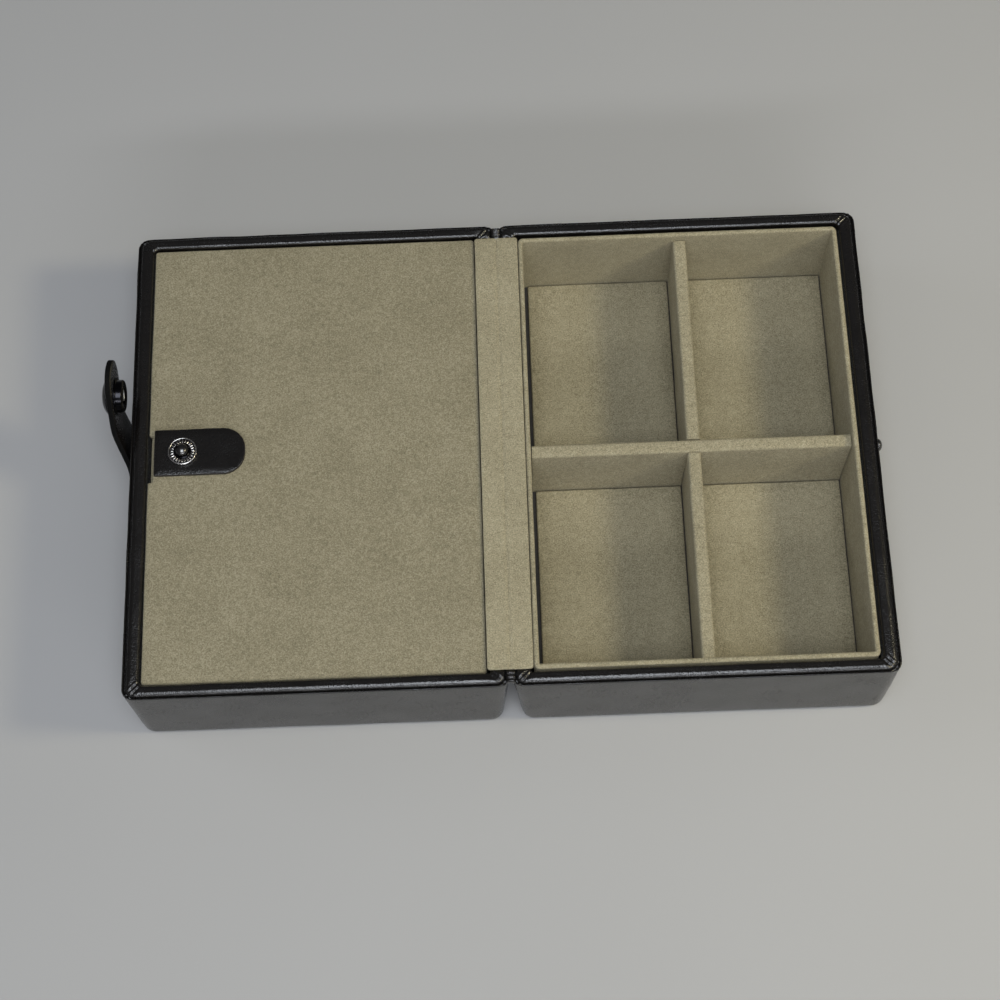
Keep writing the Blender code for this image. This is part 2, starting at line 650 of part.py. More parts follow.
def strap_band(material, carrier):
    """The free length of the strap, from the fold line to its round tip."""
    half = STRAP_WIDTH / 2
    origin = strap_origin()
    rings = [strap_ring(STRAP_FOLD + FIT_GAP, half, origin)]
    for step in range(RISE_STEPS):
        rings.append(strap_ring(STRAP_FOLD + STRAP_RISE * (step + 1) / RISE_STEPS, half, origin))
    rings += round_end(SOCKET_ALONG + STRAP_TIP - half, 1, origin)
    band = keep("closure_strap", ring_loft(rings), material, carrier)
    low = -SOCKET_HEIGHT - STRAP_THICKNESS - OVERRUN
    cut(band, drill("strap_post_hole", HOLE_RADIUS, low, 0, snap_place(), carrier))


def socket_profile():
    """The socket's section: a flange on the strap, a round lip, a mouth and a spring groove."""
    mouth = STUD_BALL_RADIUS + MOUTH_GAP
    back = -SOCKET_HEIGHT
    groove_low = -SOCKET_LIP - SOCKET_GROOVE
    floor = back + SOCKET_FLOOR
    profile = [(HOLE_RADIUS, back), (SOCKET_RADIUS, back), (SOCKET_RADIUS, back + SOCKET_FLANGE)]
    profile += [(SOCKET_BODY_RADIUS, back + SOCKET_FLANGE)]
    corner = (SOCKET_BODY_RADIUS - SOCKET_EDGE, -SOCKET_EDGE)
    profile += arc(corner, (SOCKET_EDGE, SOCKET_EDGE), 0, 90, ROUND_STEPS)
    profile += [(mouth, 0), (mouth, -SOCKET_LIP), (SOCKET_GROOVE_RADIUS, -SOCKET_LIP)]
    profile += [(SOCKET_GROOVE_RADIUS, groove_low), (mouth, groove_low), (mouth, floor)]
    return profile + [(HOLE_RADIUS, floor)]


def spring_ring(material, carrier):
    """The open wire ring in the socket's groove that grips the stud's ball."""
    radius = STUD_BALL_RADIUS + SPRING_GAP + SPRING_WIRE
    height = -SOCKET_LIP - SOCKET_GROOVE / 2
    steps = TURN_STEPS
    sweep = 2 * math.pi - SPRING_OPENING
    rings = []
    for step in range(steps + 1):
        angle = SPRING_OPENING / 2 + sweep * step / steps
        outward = Vector((math.cos(angle), math.sin(angle), 0))
        section = arc((radius, height), (SPRING_WIRE, SPRING_WIRE), 0, 315, 7)
        rings.append([snap_place() @ (outward * r + Vector((0, 0, z))) for r, z in section])
    return keep("socket_spring", ring_loft(rings), material, carrier)


def strap_snap(material, cap_material, carrier):
    """The socket on the strap's inner face and the domed cap that is riveted to it."""
    keep("snap_socket", turned(socket_profile(), snap_place()), material, carrier)
    spring_ring(material, carrier)
    strap_outer = -SOCKET_HEIGHT - STRAP_THICKNESS
    seat = strap_outer - FIT_GAP
    post_top = -SOCKET_HEIGHT + SOCKET_FLOOR
    profile = [(0, post_top), (POST_RADIUS, post_top), (POST_RADIUS, seat), (CAP_RADIUS, seat)]
    dome = arc((0, seat - CAP_RIM), (CAP_RADIUS, CAP_HEIGHT - CAP_RIM), 0, -90, ROUND_STEPS + 2)
    profile += dome[:-1] + [(0, seat - CAP_HEIGHT)]
    keep("snap_cap", turned(profile, snap_place()), cap_material, carrier)


def build_base(leather, suede, board_material, metal, steel):
    carrier = axis_empty("base_frame", Matrix())
    board = case_board(BASE, "base_board", board_material, carrier)
    cover = case_cover(BASE, "base_cover", leather, carrier)
    hinge_suede(BASE, "hinge_suede_base", suede, carrier)
    hinge_leather(BASE, "hinge_leather_base", leather, carrier)
    liner_walls(BASE, "tray_liner", TRAY_TOP, suede, carrier)
    tray_pads(suede, carrier)
    dividers(suede, carrier)
    wall_snap(metal, steel, carrier, board, cover)


def build_lid(leather, suede, board_material, metal, steel):
    carrier = axis_empty("lid_hinge", Matrix.Translation((HINGE_X, 0, HINGE_Z)))
    board = case_board(LID, "lid_board", board_material, carrier)
    cover = case_cover(LID, "lid_cover", leather, carrier)
    hinge_suede(LID, "hinge_suede_lid", suede, carrier)
    hinge_leather(LID, "hinge_leather_lid", leather, carrier)
    liner_walls(LID, "lid_liner", PANEL_BOTTOM - FIT_GAP, suede, carrier)
    low = (TRAY_LOW_U + PAD_SIDE_GAP, -TRAY_HALF_Y + PAD_SIDE_GAP)
    high = (TRAY_HIGH_U - PAD_SIDE_GAP, TRAY_HALF_Y - PAD_SIDE_GAP)
    floor_pad(LID, "lid_floor_pad", low, high, suede, carrier)
    cover_panel(suede, board_material, carrier)
    panel_tab(leather, carrier)
    stud_place = tab_stud_place(TAB_TOP + FIT_GAP)
    snap_stud("tab_stud", stud_place, metal, carrier)
    rivet_post("tab_stud_post", stud_place, TAB_TOP + FIT_GAP - PANEL_BOTTOM, steel, carrier)
    strap_rivet(metal, carrier, board, cover)
    return carrier


def build_strap(lid_carrier, leather, metal, cap_metal):
    """The strap turns on its rivet and folds just above it. It is modelled as it lies when
    shut, and its two empties set it to the pose that it has on the open box."""
    root_point = wall_place(LID, RIVET_DROP, 0).translation
    swivel = axis_empty(
        "strap_swivel", Matrix.Translation(root_point) @ Matrix.Rotation(-STRAP_SKEW, 4, "X"), lid_carrier
    )
    strap_root(leather, swivel)
    fold = axis_empty(
        "strap_fold", Matrix.Translation(strap_origin()) @ Matrix.Rotation(STRAP_LEAN, 4, "Y"), swivel
    )
    strap_band(leather, fold)
    strap_snap(metal, cap_metal, fold)


def build():
    clear_scene()
    leather = plain_material("dark_leather", (0.020, 0.018, 0.018), 0.42)
    suede = plain_material("khaki_suede", (0.262, 0.235, 0.165), 0.95)
    board_material = plain_material("grey_board", (0.33, 0.30, 0.26), 0.9)
    metal = plain_material("gunmetal", (0.20, 0.19, 0.19), 0.22, 1.0)
    cap_metal = plain_material("black_gunmetal", (0.06, 0.06, 0.065), 0.2, 1.0)
    steel = plain_material("plated_steel", (0.45, 0.45, 0.45), 0.3, 1.0)
    build_base(leather, suede, board_material, metal, steel)
    lid_carrier = build_lid(leather, suede, board_material, metal, steel)
    build_strap(lid_carrier, leather, metal, cap_metal)


build()
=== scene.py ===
# %% [markdown]
# # A travel jewellery box, dressed for its picture
# The box opens flat like a book. One half is a suede tray with four compartments, the other a
# suede panel over a shallow hollow, and a leather strap with a snap shuts the two. The packed
# model gives every place and size, so each piece below is modelled straight where it belongs.
# All lengths are in metres, and X runs from the lid to the base across the hinge.

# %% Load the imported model
import math

import bmesh
import bpy
from mathutils import Matrix, Vector
from mathutils import noise as shape_noise


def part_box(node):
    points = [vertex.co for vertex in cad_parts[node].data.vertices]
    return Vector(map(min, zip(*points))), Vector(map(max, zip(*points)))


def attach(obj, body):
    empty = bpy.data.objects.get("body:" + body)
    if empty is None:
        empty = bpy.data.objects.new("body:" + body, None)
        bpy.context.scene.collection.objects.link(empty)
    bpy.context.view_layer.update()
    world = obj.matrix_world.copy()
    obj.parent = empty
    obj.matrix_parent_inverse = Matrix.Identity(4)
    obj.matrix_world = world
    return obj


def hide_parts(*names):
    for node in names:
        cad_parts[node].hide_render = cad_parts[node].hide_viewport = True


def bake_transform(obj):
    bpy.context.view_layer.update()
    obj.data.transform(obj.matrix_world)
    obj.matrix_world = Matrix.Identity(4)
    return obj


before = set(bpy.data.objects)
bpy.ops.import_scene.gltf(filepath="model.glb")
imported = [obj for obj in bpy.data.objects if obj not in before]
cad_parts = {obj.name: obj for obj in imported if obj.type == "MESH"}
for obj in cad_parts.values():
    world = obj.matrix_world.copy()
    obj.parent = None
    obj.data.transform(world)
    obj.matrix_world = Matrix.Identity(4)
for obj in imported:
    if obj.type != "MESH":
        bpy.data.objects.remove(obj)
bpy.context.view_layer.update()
MM = 0.001

# %% [markdown]
# ## Camera
# The picture was taken from above and a little in front, with the box turned slightly. The
# camera's place and turn come from fitting the box's known corners to the picture, so the same
# corners land on the same spots here.

# %% Camera
CAMERA_PLACE = Vector((-54.863, -236.348, 600.469)) * MM
CAMERA_TURN = [math.radians(angle) for angle in (21.0928, 1.3630, -1.7979)]
CAMERA_LENS = 70.38

camera_data = bpy.data.cameras.new("camera")
camera_data.lens = CAMERA_LENS
camera_data.sensor_width = 36
camera_data.clip_start = 0.01
camera = bpy.data.objects.new("camera", camera_data)
camera.location = CAMERA_PLACE
camera.rotation_euler = CAMERA_TURN
bpy.context.collection.objects.link(camera)
bpy.context.scene.camera = camera
bpy.context.scene.view_settings.view_transform = "Standard"
print("camera at", tuple(round(value, 3) for value in camera.location))

# %% [markdown]
# ## Light
# A small lamp to the right throws the soft shadows in the compartments. A broad one overhead
# reaches down into them, a long low one in front draws the bright line along the rims, and a weak
# one at the left stands for a wall that throws light back, so it isn't seen in shiny pieces. A
# faint grey world does the rest. Together they light a surface at about its own colour.

# %% Lamps and world
LAMPS = (
    ("window_lamp", (0.50, -0.09, 0.57), (0.15, 0.15), 2.3, (1.0, 0.90, 0.62)),
    ("ceiling_light", (-0.05, -0.42, 1.35), (0.80, 0.80), 11.6, (0.90, 0.94, 1.0)),
    ("front_window", (0.10, -1.15, 0.72), (1.50, 0.12), 6.0, (0.95, 0.96, 1.0)),
    ("left_wall", (-1.10, 0.15, 0.60), (0.80, 0.50), 2.4, (0.90, 0.94, 1.0)),
)
UNSEEN_LAMP = "left_wall"
LAMP_AIM = Vector((-0.06, 0, 0.02))
WORLD_COLOUR = (0.93, 0.95, 1.0, 1)
WORLD_STRENGTH = 0.09

for name, place, size, power, colour in LAMPS:
    lamp_data = bpy.data.lights.new(name, "AREA")
    lamp_data.shape = "ELLIPSE"
    lamp_data.size, lamp_data.size_y = size
    lamp_data.energy = power
    lamp_data.color = colour
    lamp = bpy.data.objects.new(name, lamp_data)
    lamp.location = place
    lamp.rotation_euler = (Vector(place) - LAMP_AIM).to_track_quat("Z", "Y").to_euler()
    lamp.visible_glossy = name != UNSEEN_LAMP
    bpy.context.collection.objects.link(lamp)

world = bpy.data.worlds.new("world")
bpy.context.scene.world = world
world.use_nodes = True
backdrop = world.node_tree.nodes["Background"]
backdrop.inputs["Color"].default_value = WORLD_COLOUR
backdrop.inputs["Strength"].default_value = WORLD_STRENGTH
print("lamps:", [row[0] for row in LAMPS])

# %% [markdown]
# ## Finishes
# Each finish is a small set of nodes. Patterns read the object's own coordinates, which are
# metres, so a scale of 1000 makes marks of about a millimetre. Pieces that bend across a hinge
# carry the place that each point has on the open box as an attribute, and their pattern reads
# that, so that it stays on the surface when the piece bends.

# %% Helpers for node materials
REST_PLACE = "rest_place"


def new_finish(name):
    material = bpy.data.materials.new(name)
    material.use_nodes = True
    tree = material.node_tree
    return material, tree, tree.nodes["Principled BSDF"]


def surface_place(tree, carried):
    """The coordinates that a pattern follows: the object's own, or those that the mesh carries."""
    if carried:
        node = tree.nodes.new("ShaderNodeAttribute")
        node.attribute_name = REST_PLACE
        return node.outputs["Vector"]
    return tree.nodes.new("ShaderNodeTexCoord").outputs["Object"]


def noise(tree, place, scale, detail=2.0, roughness=0.5, distortion=0.0):
    node = tree.nodes.new("ShaderNodeTexNoise")
    node.inputs["Scale"].default_value = scale
    node.inputs["Detail"].default_value = detail
    node.inputs["Roughness"].default_value = roughness
    node.inputs["Distortion"].default_value = distortion
    tree.links.new(place, node.inputs["Vector"])
    return node.outputs["Fac"]


def ramp(tree, value, stops):
    """Colours or greys at places from 0 to 1 along an incoming value."""
    node = tree.nodes.new("ShaderNodeValToRGB")
    tree.links.new(value, node.inputs["Fac"])
    elements = node.color_ramp.elements
    while len(elements) < len(stops):
        elements.new(0.5)
    for element, (place, colour) in zip(elements, stops):
        element.position = place
        element.color = (*colour, 1) if hasattr(colour, "__len__") else (colour, colour, colour, 1)
    return node.outputs["Color"]


def math_node(tree, operation, first, second):
    node = tree.nodes.new("ShaderNodeMath")
    node.operation = operation
    for socket, value in zip(node.inputs, (first, second)):
        if isinstance(value, (int, float)):
            socket.default_value = value
        else:
            tree.links.new(value, socket)
    return node.outputs["Value"]


def bump(tree, shader, height, strength, distance):
    node = tree.nodes.new("ShaderNodeBump")
    node.inputs["Strength"].default_value = strength
    node.inputs["Distance"].default_value = distance
    tree.links.new(height, node.inputs["Height"])
    tree.links.new(node.outputs["Normal"], shader.inputs["Normal"])


print("finish helpers ready")

# %% [markdown]
# ### Brushed suede
# The lining is a short napped suede in khaki. Its nap lies in slightly different directions,
# which shows as soft cloudy patches, with fine fibre speckle on top. Three sizes of noise give
# the clouds, the nap and the speckle, and a little sheen lifts the edges as real nap does. The
# same suede is made in copies of different brightness, as painted light and shade: the panel's
# is darker, and those of the floor cards, walls, dividers and hinge strip are lighter, for light
# that the lamps don't bring into the tray.

# %% Suede
SUEDE_TONES = (
    (0.36, (0.140, 0.124, 0.082)), (0.50, (0.275, 0.245, 0.160)), (0.64, (0.430, 0.392, 0.282)),
)
SUEDE_SHEEN = (0.75, 0.70, 0.56, 1)
# Scale, detail, roughness and share of the clouds, the nap and the speckle.
SUEDE_LAYERS = ((70, 3, 0.5, 0.09), (620, 3, 0.6, 0.15), (2300, 4, 0.85, 0.76))


def suede_finish(name, painted_light_lift=1.0, carried=False):
    material, tree, shader = new_finish(name)
    place = surface_place(tree, carried)
    mixed = 0.0
    for scale, detail, roughness, share in SUEDE_LAYERS:
        layer = noise(tree, place, scale, detail, roughness)
        mixed = math_node(tree, "ADD", math_node(tree, "MULTIPLY", layer, share), mixed)
    tones = [(stop, tuple(value * painted_light_lift for value in tone)) for stop, tone in SUEDE_TONES]
    tree.links.new(ramp(tree, mixed, tones), shader.inputs["Base Color"])
    shader.inputs["Roughness"].default_value = 1.0
    shader.inputs["Specular IOR Level"].default_value = 0.15
    shader.inputs["Sheen Weight"].default_value = 0.18
    shader.inputs["Sheen Roughness"].default_value = 0.45
    shader.inputs["Sheen Tint"].default_value = SUEDE_SHEEN
    bump(tree, shader, mixed, strength=0.8, distance=0.30 * MM)
    return material


# Copies of one suede at different brightness, as painted light and shade: the panel darker, the
# cards, edging and strip lighter.
panel_suede = suede_finish("brushed_suede_panel", painted_light_lift=0.90)
suede = suede_finish("brushed_suede_cards", painted_light_lift=1.05)
edging_suede = suede_finish("brushed_suede_edging", painted_light_lift=1.09)
bent_suede = suede_finish("brushed_suede_on_bends", painted_light_lift=1.10, carried=True)
print("made", panel_suede.name, suede.name, edging_suede.name, bent_suede.name)

# %% [markdown]
# ### Grained leather
# The covers are near black leather with a fine pebbled grain, which is soft in its shine. Cells
# of about half a millimetre make the pebbles, a finer noise roughens them, and the valleys
# between pebbles are duller than their tops.

# %% Leather
LEATHER_DEEP = (0.0030, 0.0025, 0.0023)
LEATHER_TOP = (0.0090, 0.0077, 0.0070)
PEBBLE_SCALE = 2300
PEBBLE_SHINE = 0.14
WRINKLE_SCALE = 900
WRINKLE_SHARE = 0.6
WEAR_SCALE = 110
WEAR_DULLNESS = 0.16
LEATHER_ROUGHNESS = 0.22


def leather_finish(name, carried=False):
    material, tree, shader = new_finish(name)
    place = surface_place(tree, carried)
    cells = tree.nodes.new("ShaderNodeTexVoronoi")
    cells.feature = "SMOOTH_F1"
    cells.inputs["Scale"].default_value = PEBBLE_SCALE
    cells.inputs["Smoothness"].default_value = 0.35
    tree.links.new(place, cells.inputs["Vector"])
    pebbles = math_node(tree, "SUBTRACT", 1.0, cells.outputs["Distance"])
    wrinkles = noise(tree, place, WRINKLE_SCALE, detail=4, roughness=0.6)
    wear = noise(tree, place, WEAR_SCALE, detail=3, roughness=0.55)
    height = math_node(tree, "ADD", pebbles, math_node(tree, "MULTIPLY", wrinkles, WRINKLE_SHARE))
    colour = ramp(tree, pebbles, ((0.35, LEATHER_DEEP), (0.85, LEATHER_TOP)))
    tree.links.new(colour, shader.inputs["Base Color"])
    dull = math_node(tree, "MULTIPLY", wear, WEAR_DULLNESS)
    rough = math_node(tree, "ADD", dull, math_node(tree, "MULTIPLY", pebbles, -PEBBLE_SHINE))
    rough = math_node(tree, "ADD", rough, LEATHER_ROUGHNESS)
    tree.links.new(rough, shader.inputs["Roughness"])
    shader.inputs["Specular IOR Level"].default_value = 0.70
    shader.inputs["Sheen Weight"].default_value = 0.07
    shader.inputs["Sheen Roughness"].default_value = 0.22
    bump(tree, shader, height, strength=0.55, distance=0.10 * MM)
    return material


leather = leather_finish("grained_leather")
leather_bent = leather_finish("grained_leather_on_bends", carried=True)
print("made", leather.name, leather_bent.name)

# %% [markdown]
# ### Cut edges of leather
# The cut edges of the tab show the leather's paler inside, fibrous and dull. Those of the strap
# are dyed black, but they are just as dull, so they stay dark where the faces shine. One fine
# noise between two close tones is enough for both.

# %% Cut edges of leather
def edge_finish(name, dark, light, carried=False):
    material, tree, shader = new_finish(name)
    fibre = noise(tree, surface_place(tree, carried), 2600, detail=4, roughness=0.7)
    tree.links.new(ramp(tree, fibre, ((0.35, dark), (0.65, light))), shader.inputs["Base Color"])
    shader.inputs["Roughness"].default_value = 0.8
    shader.inputs["Specular IOR Level"].default_value = 0.04
    bump(tree, shader, fibre, strength=0.6, distance=0.08 * MM)
    return material


cut_edge = edge_finish("leather_cut_edge", (0.022, 0.020, 0.018), (0.055, 0.050, 0.045))
dyed_edge = edge_finish("strap_edge", (0.003,) * 3, (0.008,) * 3, carried=True)
print("made", cut_edge.name, dyed_edge.name)

# %% [markdown]
# ### Metals and board
# The snaps are plated: gunmetal on the studs' rims and ribs and on the rivet, and plain steel on
# the posts inside. Their balls take a darker copy of the gunmetal, and their dishes, the socket and
# the cap a nearly black one, as painted reflection and shade. Plating is smooth, so only faint
# scuffs change its shine. The boards inside the covers are paper board, painted dark grey as the
# shade of the slits in the tray's floor, where alone they show.

# %% Metals and board
SCUFF_SCALE = 1500
SCUFF_TONE = 0.8
# The board's tones are painted shade, dark so that the slits where it shows read as shadow.
BOARD_SHADE_DARK = (0.045, 0.042, 0.038)
BOARD_SHADE_LIGHT = (0.075, 0.070, 0.062)


def metal_finish(name, colour, roughness, scuff):
    material, tree, shader = new_finish(name)
    place = surface_place(tree, False)
    marks = noise(tree, place, SCUFF_SCALE, detail=4, roughness=0.65)
    tone = tuple(value * SCUFF_TONE for value in colour)
    tree.links.new(ramp(tree, marks, ((0.35, tone), (0.65, colour))), shader.inputs["Base Color"])
    rough = math_node(tree, "ADD", math_node(tree, "MULTIPLY", marks, scuff), roughness)
    tree.links.new(rough, shader.inputs["Roughness"])
    shader.inputs["Metallic"].default_value = 1.0
    bump(tree, shader, marks, strength=0.15, distance=0.01 * MM)
    return material


gunmetal = metal_finish("gunmetal_plating", (0.62, 0.60, 0.58), roughness=0.20, scuff=0.12)
# Two darker copies of the plating, as painted reflection and shade: one for the balls, one for the
# dishes, socket and cap.
painted_reflection_dark_metal = metal_finish("painted_reflection_dark_metal", (0.14, 0.138, 0.135), roughness=0.20, scuff=0.10)
painted_shade_black_metal = metal_finish("painted_shade_black_metal", (0.020, 0.020, 0.022), roughness=0.12, scuff=0.14)
steel = metal_finish("plain_steel_plating", (0.52, 0.52, 0.52), roughness=0.25, scuff=0.2)

board, board_tree, board_shader = new_finish("paper_board")
board_fibre = noise(board_tree, surface_place(board_tree, False), 900, detail=5, roughness=0.7)
board_colour = ramp(board_tree, board_fibre, ((0.3, BOARD_SHADE_DARK), (0.7, BOARD_SHADE_LIGHT)))
board_tree.links.new(board_colour, board_shader.inputs["Base Color"])
board_shader.inputs["Roughness"].default_value = 0.95
bump(board_tree, board_shader, board_fibre, strength=0.4, distance=0.05 * MM)
print("made", gunmetal.name, painted_reflection_dark_metal.name, painted_shade_black_metal.name, steel.name, board.name)

# %% [markdown]
# ## Floor
# The box stands on a plain pale surface. A flat plane does for it, wide enough to fill the view,
# and its tone drifts very slightly so that it doesn't look like flat paint.

# %% Floor
FLOOR_SIZE = 4.0
FLOOR_COLOUR = (0.384, 0.383, 0.380)
FLOOR_SHADE = tuple(value * 0.97 for value in FLOOR_COLOUR)

floor_finish, floor_tree, floor_shader = new_finish("pale_floor")
floor_drift = noise(floor_tree, surface_place(floor_tree, False), 6, detail=2)
floor_tone = ramp(floor_tree, floor_drift, ((0.3, FLOOR_SHADE), (0.7, FLOOR_COLOUR)))
floor_tree.links.new(floor_tone, floor_shader.inputs["Base Color"])
floor_shader.inputs["Roughness"].default_value = 0.7
bpy.ops.object.select_all(action="DESELECT")
bpy.ops.mesh.primitive_plane_add(size=FLOOR_SIZE)
floor = bpy.context.object
floor.name = "floor"
floor.data.materials.append(floor_finish)
print("floor", FLOOR_SIZE, "m wide")

# %% [markdown]
# ## Tools for modelling by hand
# Every piece starts as a primitive at its size and place. In edit mode its points, edges or
# faces are picked by where they are or which way they face, and then pushed, bevelled or
# extruded, just as one would click on them.

# %% Tools for starting and editing a piece
TINY = 1e-6


def middle_of(item):
    if isinstance(item, bmesh.types.BMVert):
        return item.co
    if isinstance(item, bmesh.types.BMEdge):
        return (item.verts[0].co + item.verts[1].co) / 2
    return item.calc_center_median()


def edit(piece):
    """Go into edit mode on one piece, with nothing picked."""
    bpy.ops.object.select_all(action="DESELECT")
    bpy.context.view_layer.objects.active = piece
    piece.select_set(True)
    bpy.ops.object.mode_set(mode="EDIT")
    bpy.ops.mesh.select_all(action="DESELECT")


def done():
    bpy.ops.object.mode_set(mode="OBJECT")


def pick(kind, test):
    """Pick the points, edges or faces that pass a test of their middle and themselves."""
    bpy.ops.mesh.select_mode(type=kind)
    bpy.ops.mesh.select_all(action="DESELECT")
    data = bpy.context.edit_object.data
    mesh = bmesh.from_edit_mesh(data)
    for item in {"VERT": mesh.verts, "EDGE": mesh.edges, "FACE": mesh.faces}[kind]:
        if test(middle_of(item), item):
            item.select_set(True)
    mesh.select_flush_mode()
    bmesh.update_edit_mesh(data, loop_triangles=False, destructive=False)


def runs_along(edge, axis, least=TINY):
    """Whether an edge's ends lie further apart than a length along an axis."""
    index = "XYZ".index(axis)
    return abs(edge.verts[0].co[index] - edge.verts[1].co[index]) > least


def block(name, low, high):
    """A cube between two corners, with its place in its mesh."""
    low, high = Vector(low), Vector(high)
    bpy.ops.object.select_all(action="DESELECT")
    bpy.ops.mesh.primitive_cube_add(size=1, location=(low + high) / 2, scale=high - low)
    bpy.ops.object.transform_apply(location=True, rotation=True, scale=True)
    piece = bpy.context.object
    piece.name = name
    return piece


def slice_across(axis, places):
    """Cut the whole mesh being edited by planes across an axis."""
    normal = Vector((axis == "X", axis == "Y", axis == "Z"))
    for place in places:
        bpy.ops.mesh.select_all(action="SELECT")
        bpy.ops.mesh.bisect(plane_co=normal * place, plane_no=normal)


def spaced(low, high, step):
    """Places from just inside low to just inside high, about a step apart."""
    count = max(2, round((high - low) / step))
    return [low + (high - low) * index / count for index in range(1, count)]


def apply_modifier(piece, kind, **settings):
    bpy.ops.object.select_all(action="DESELECT")
    bpy.context.view_layer.objects.active = piece
    piece.select_set(True)
    modifier = piece.modifiers.new(kind.lower(), kind)
    for name, value in settings.items():
        setattr(modifier, name, value)
    bpy.ops.object.modifier_apply(modifier=modifier.name)


def tidy(piece, angle=40):
    """Merge what touches, point the faces outwards and shade smooth up to an angle."""
    edit(piece)
    bpy.ops.mesh.select_all(action="SELECT")
    bpy.ops.mesh.remove_doubles(threshold=TINY)
    bpy.ops.mesh.normals_make_consistent(inside=False)
    done()
    bpy.ops.object.shade_smooth_by_angle(angle=math.radians(angle))


def settle(piece, height, size, seed, keep=lambda place: 1.0):
    """Move each point a little along its normal by a smooth noise, for an uneven, soft surface."""
    mesh = piece.data
    shift = Vector((seed * 17.3, seed * 5.1, seed * 9.7))
    moves = []
    for vert in mesh.vertices:
        amount = shape_noise.noise(vert.co / size + shift) * height * keep(vert.co)
        moves.append(vert.normal * amount)
    for vert, move in zip(mesh.vertices, moves):
        vert.co += move


def finish_piece(piece, materials, body, replaced=()):
    """Give a piece its materials, hang it on its body and hide the imported parts that it stands
    for.
    """
    if materials:
        piece.data.materials.clear()
        for material in materials:
            piece.data.materials.append(material)
    if body:
        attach(piece, body)
    if replaced:
        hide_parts(*replaced)
    triangles = sum(len(face.vertices) - 2 for face in piece.data.polygons)
    print(piece.name, "has", triangles, "triangles")


print("modelling tools ready")

# %% [markdown]
# ## Leather covers
# Each half is a shallow box of board with leather wrapped round it. Round the top the leather
# is padded into a soft rolled rim, which starts at a slant above a thin open crease in the wall.
# It could be swept round a path, but pushing up rings from one box keeps the whole skin in one
# piece: the box's upright edges are rounded, the top face is inset and raised step by step over
# the crease and the roll, and then sunk down inside.

# %% Sizes of the covers
HINGE_X = -0.060
HALF_WIDTH = 0.117
HALF_DEPTH = 0.079
CASE_HEIGHT = 0.037
HINGE_SIDE_GAP = 0.0004
HINGE_SIDE_DRAFT = 0.0026
CORNER_RADIUS = 0.0045
HINGE_CORNER_RADIUS = 0.0038
BOTTOM_RADIUS = 0.0024
SHOULDER = 0.0013
SHOULDER_ROUND = 0.0004
CREASE_DEPTH = 0.0009
CREASE_Z = 0.0360
GROOVE_EDGE = 0.55 * MM
GROOVE_EDGE_DROP = 0.15 * MM
GROOVE_INSET = 0.62 * MM
RIM_WIDTH = 0.0040
RIM_INSET = SHOULDER + RIM_WIDTH
OUTER_ROLL = 0.0026
ROLL_START = 131
CROWN_INSET = 3.3 * MM
CROWN_SAG = 0.1 * MM
INNER_ROLL = 0.0010
TURN_IN_TOP = 0.032
TURN_IN_BOTTOM = 0.028
TURN_IN_INSET = 4.3 * MM
BOARD_TOP = 0.0331
INSIDE_ROW = 0.02
LEATHER = 0.0012
INSET_LIMIT = 0.0024
WALL_ROWS = (0.010, 0.018, 0.026)


def arc(centre, radius, start, end, steps):
    """Points on an arc in the plane of a section, without its first point."""
    points = []
    for step in range(1, steps + 1):
        angle = math.radians(start + (end - start) * step / steps)
        points.append((centre[0] + radius * math.cos(angle), centre[1] + radius * math.sin(angle)))
    return points


def rim_section():
    """The skin's section from the wall's top over the roll and down inside: inset and height."""
    points = [(0, CREASE_Z - SHOULDER_ROUND)]
    points += arc((SHOULDER_ROUND, CREASE_Z - SHOULDER_ROUND), SHOULDER_ROUND, 180, 90, 3)
    points += [(GROOVE_EDGE, CREASE_Z - GROOVE_EDGE_DROP), (GROOVE_INSET, CREASE_Z - CREASE_DEPTH)]
    points += [(SHOULDER, CREASE_Z - CREASE_DEPTH), (SHOULDER, CREASE_Z)]
    roll_middle = SHOULDER + OUTER_ROLL * math.cos(math.radians(180 - ROLL_START))
    points += arc((roll_middle, CASE_HEIGHT - OUTER_ROLL), OUTER_ROLL, ROLL_START, 90, 6)
    turn = RIM_INSET - INNER_ROLL
    points += [(CROWN_INSET, CASE_HEIGHT - CROWN_SAG / 2), (turn, CASE_HEIGHT - CROWN_SAG)]
    points += arc((turn, CASE_HEIGHT - CROWN_SAG - INNER_ROLL), INNER_ROLL, 90, 0, 5)
    points += [(RIM_INSET, TURN_IN_TOP), (RIM_INSET, TURN_IN_BOTTOM)]
    points += [(TURN_IN_INSET, TURN_IN_BOTTOM), (TURN_IN_INSET, BOARD_TOP)]
    points += [(LEATHER, BOARD_TOP), (LEATHER, INSIDE_ROW), (LEATHER, LEATHER)]
    return points


print("rim section has", len(rim_section()), "points")

# %% Wrap one half in leather


def ring_step(before, after, size, centre_x):
    """Raise and shrink the picked top face from one point of the section to the next."""
    inward = after[0] - before[0]
    upward = after[1] - before[1]
    if inward > 0 and after[0] <= INSET_LIMIT:
        bpy.ops.mesh.inset(thickness=inward, depth=upward)
        return
    bpy.ops.mesh.extrude_region_move(TRANSFORM_OT_translate={"value": (0, 0, upward)})
    if inward:
        width = size[0] - 2 * before[0]
        depth = size[1] - 2 * before[0]
        factor = ((width - 2 * inward) / width, (depth - 2 * inward) / depth, 1)
        bpy.ops.transform.resize(value=factor, center_override=(centre_x, 0, after[1]))


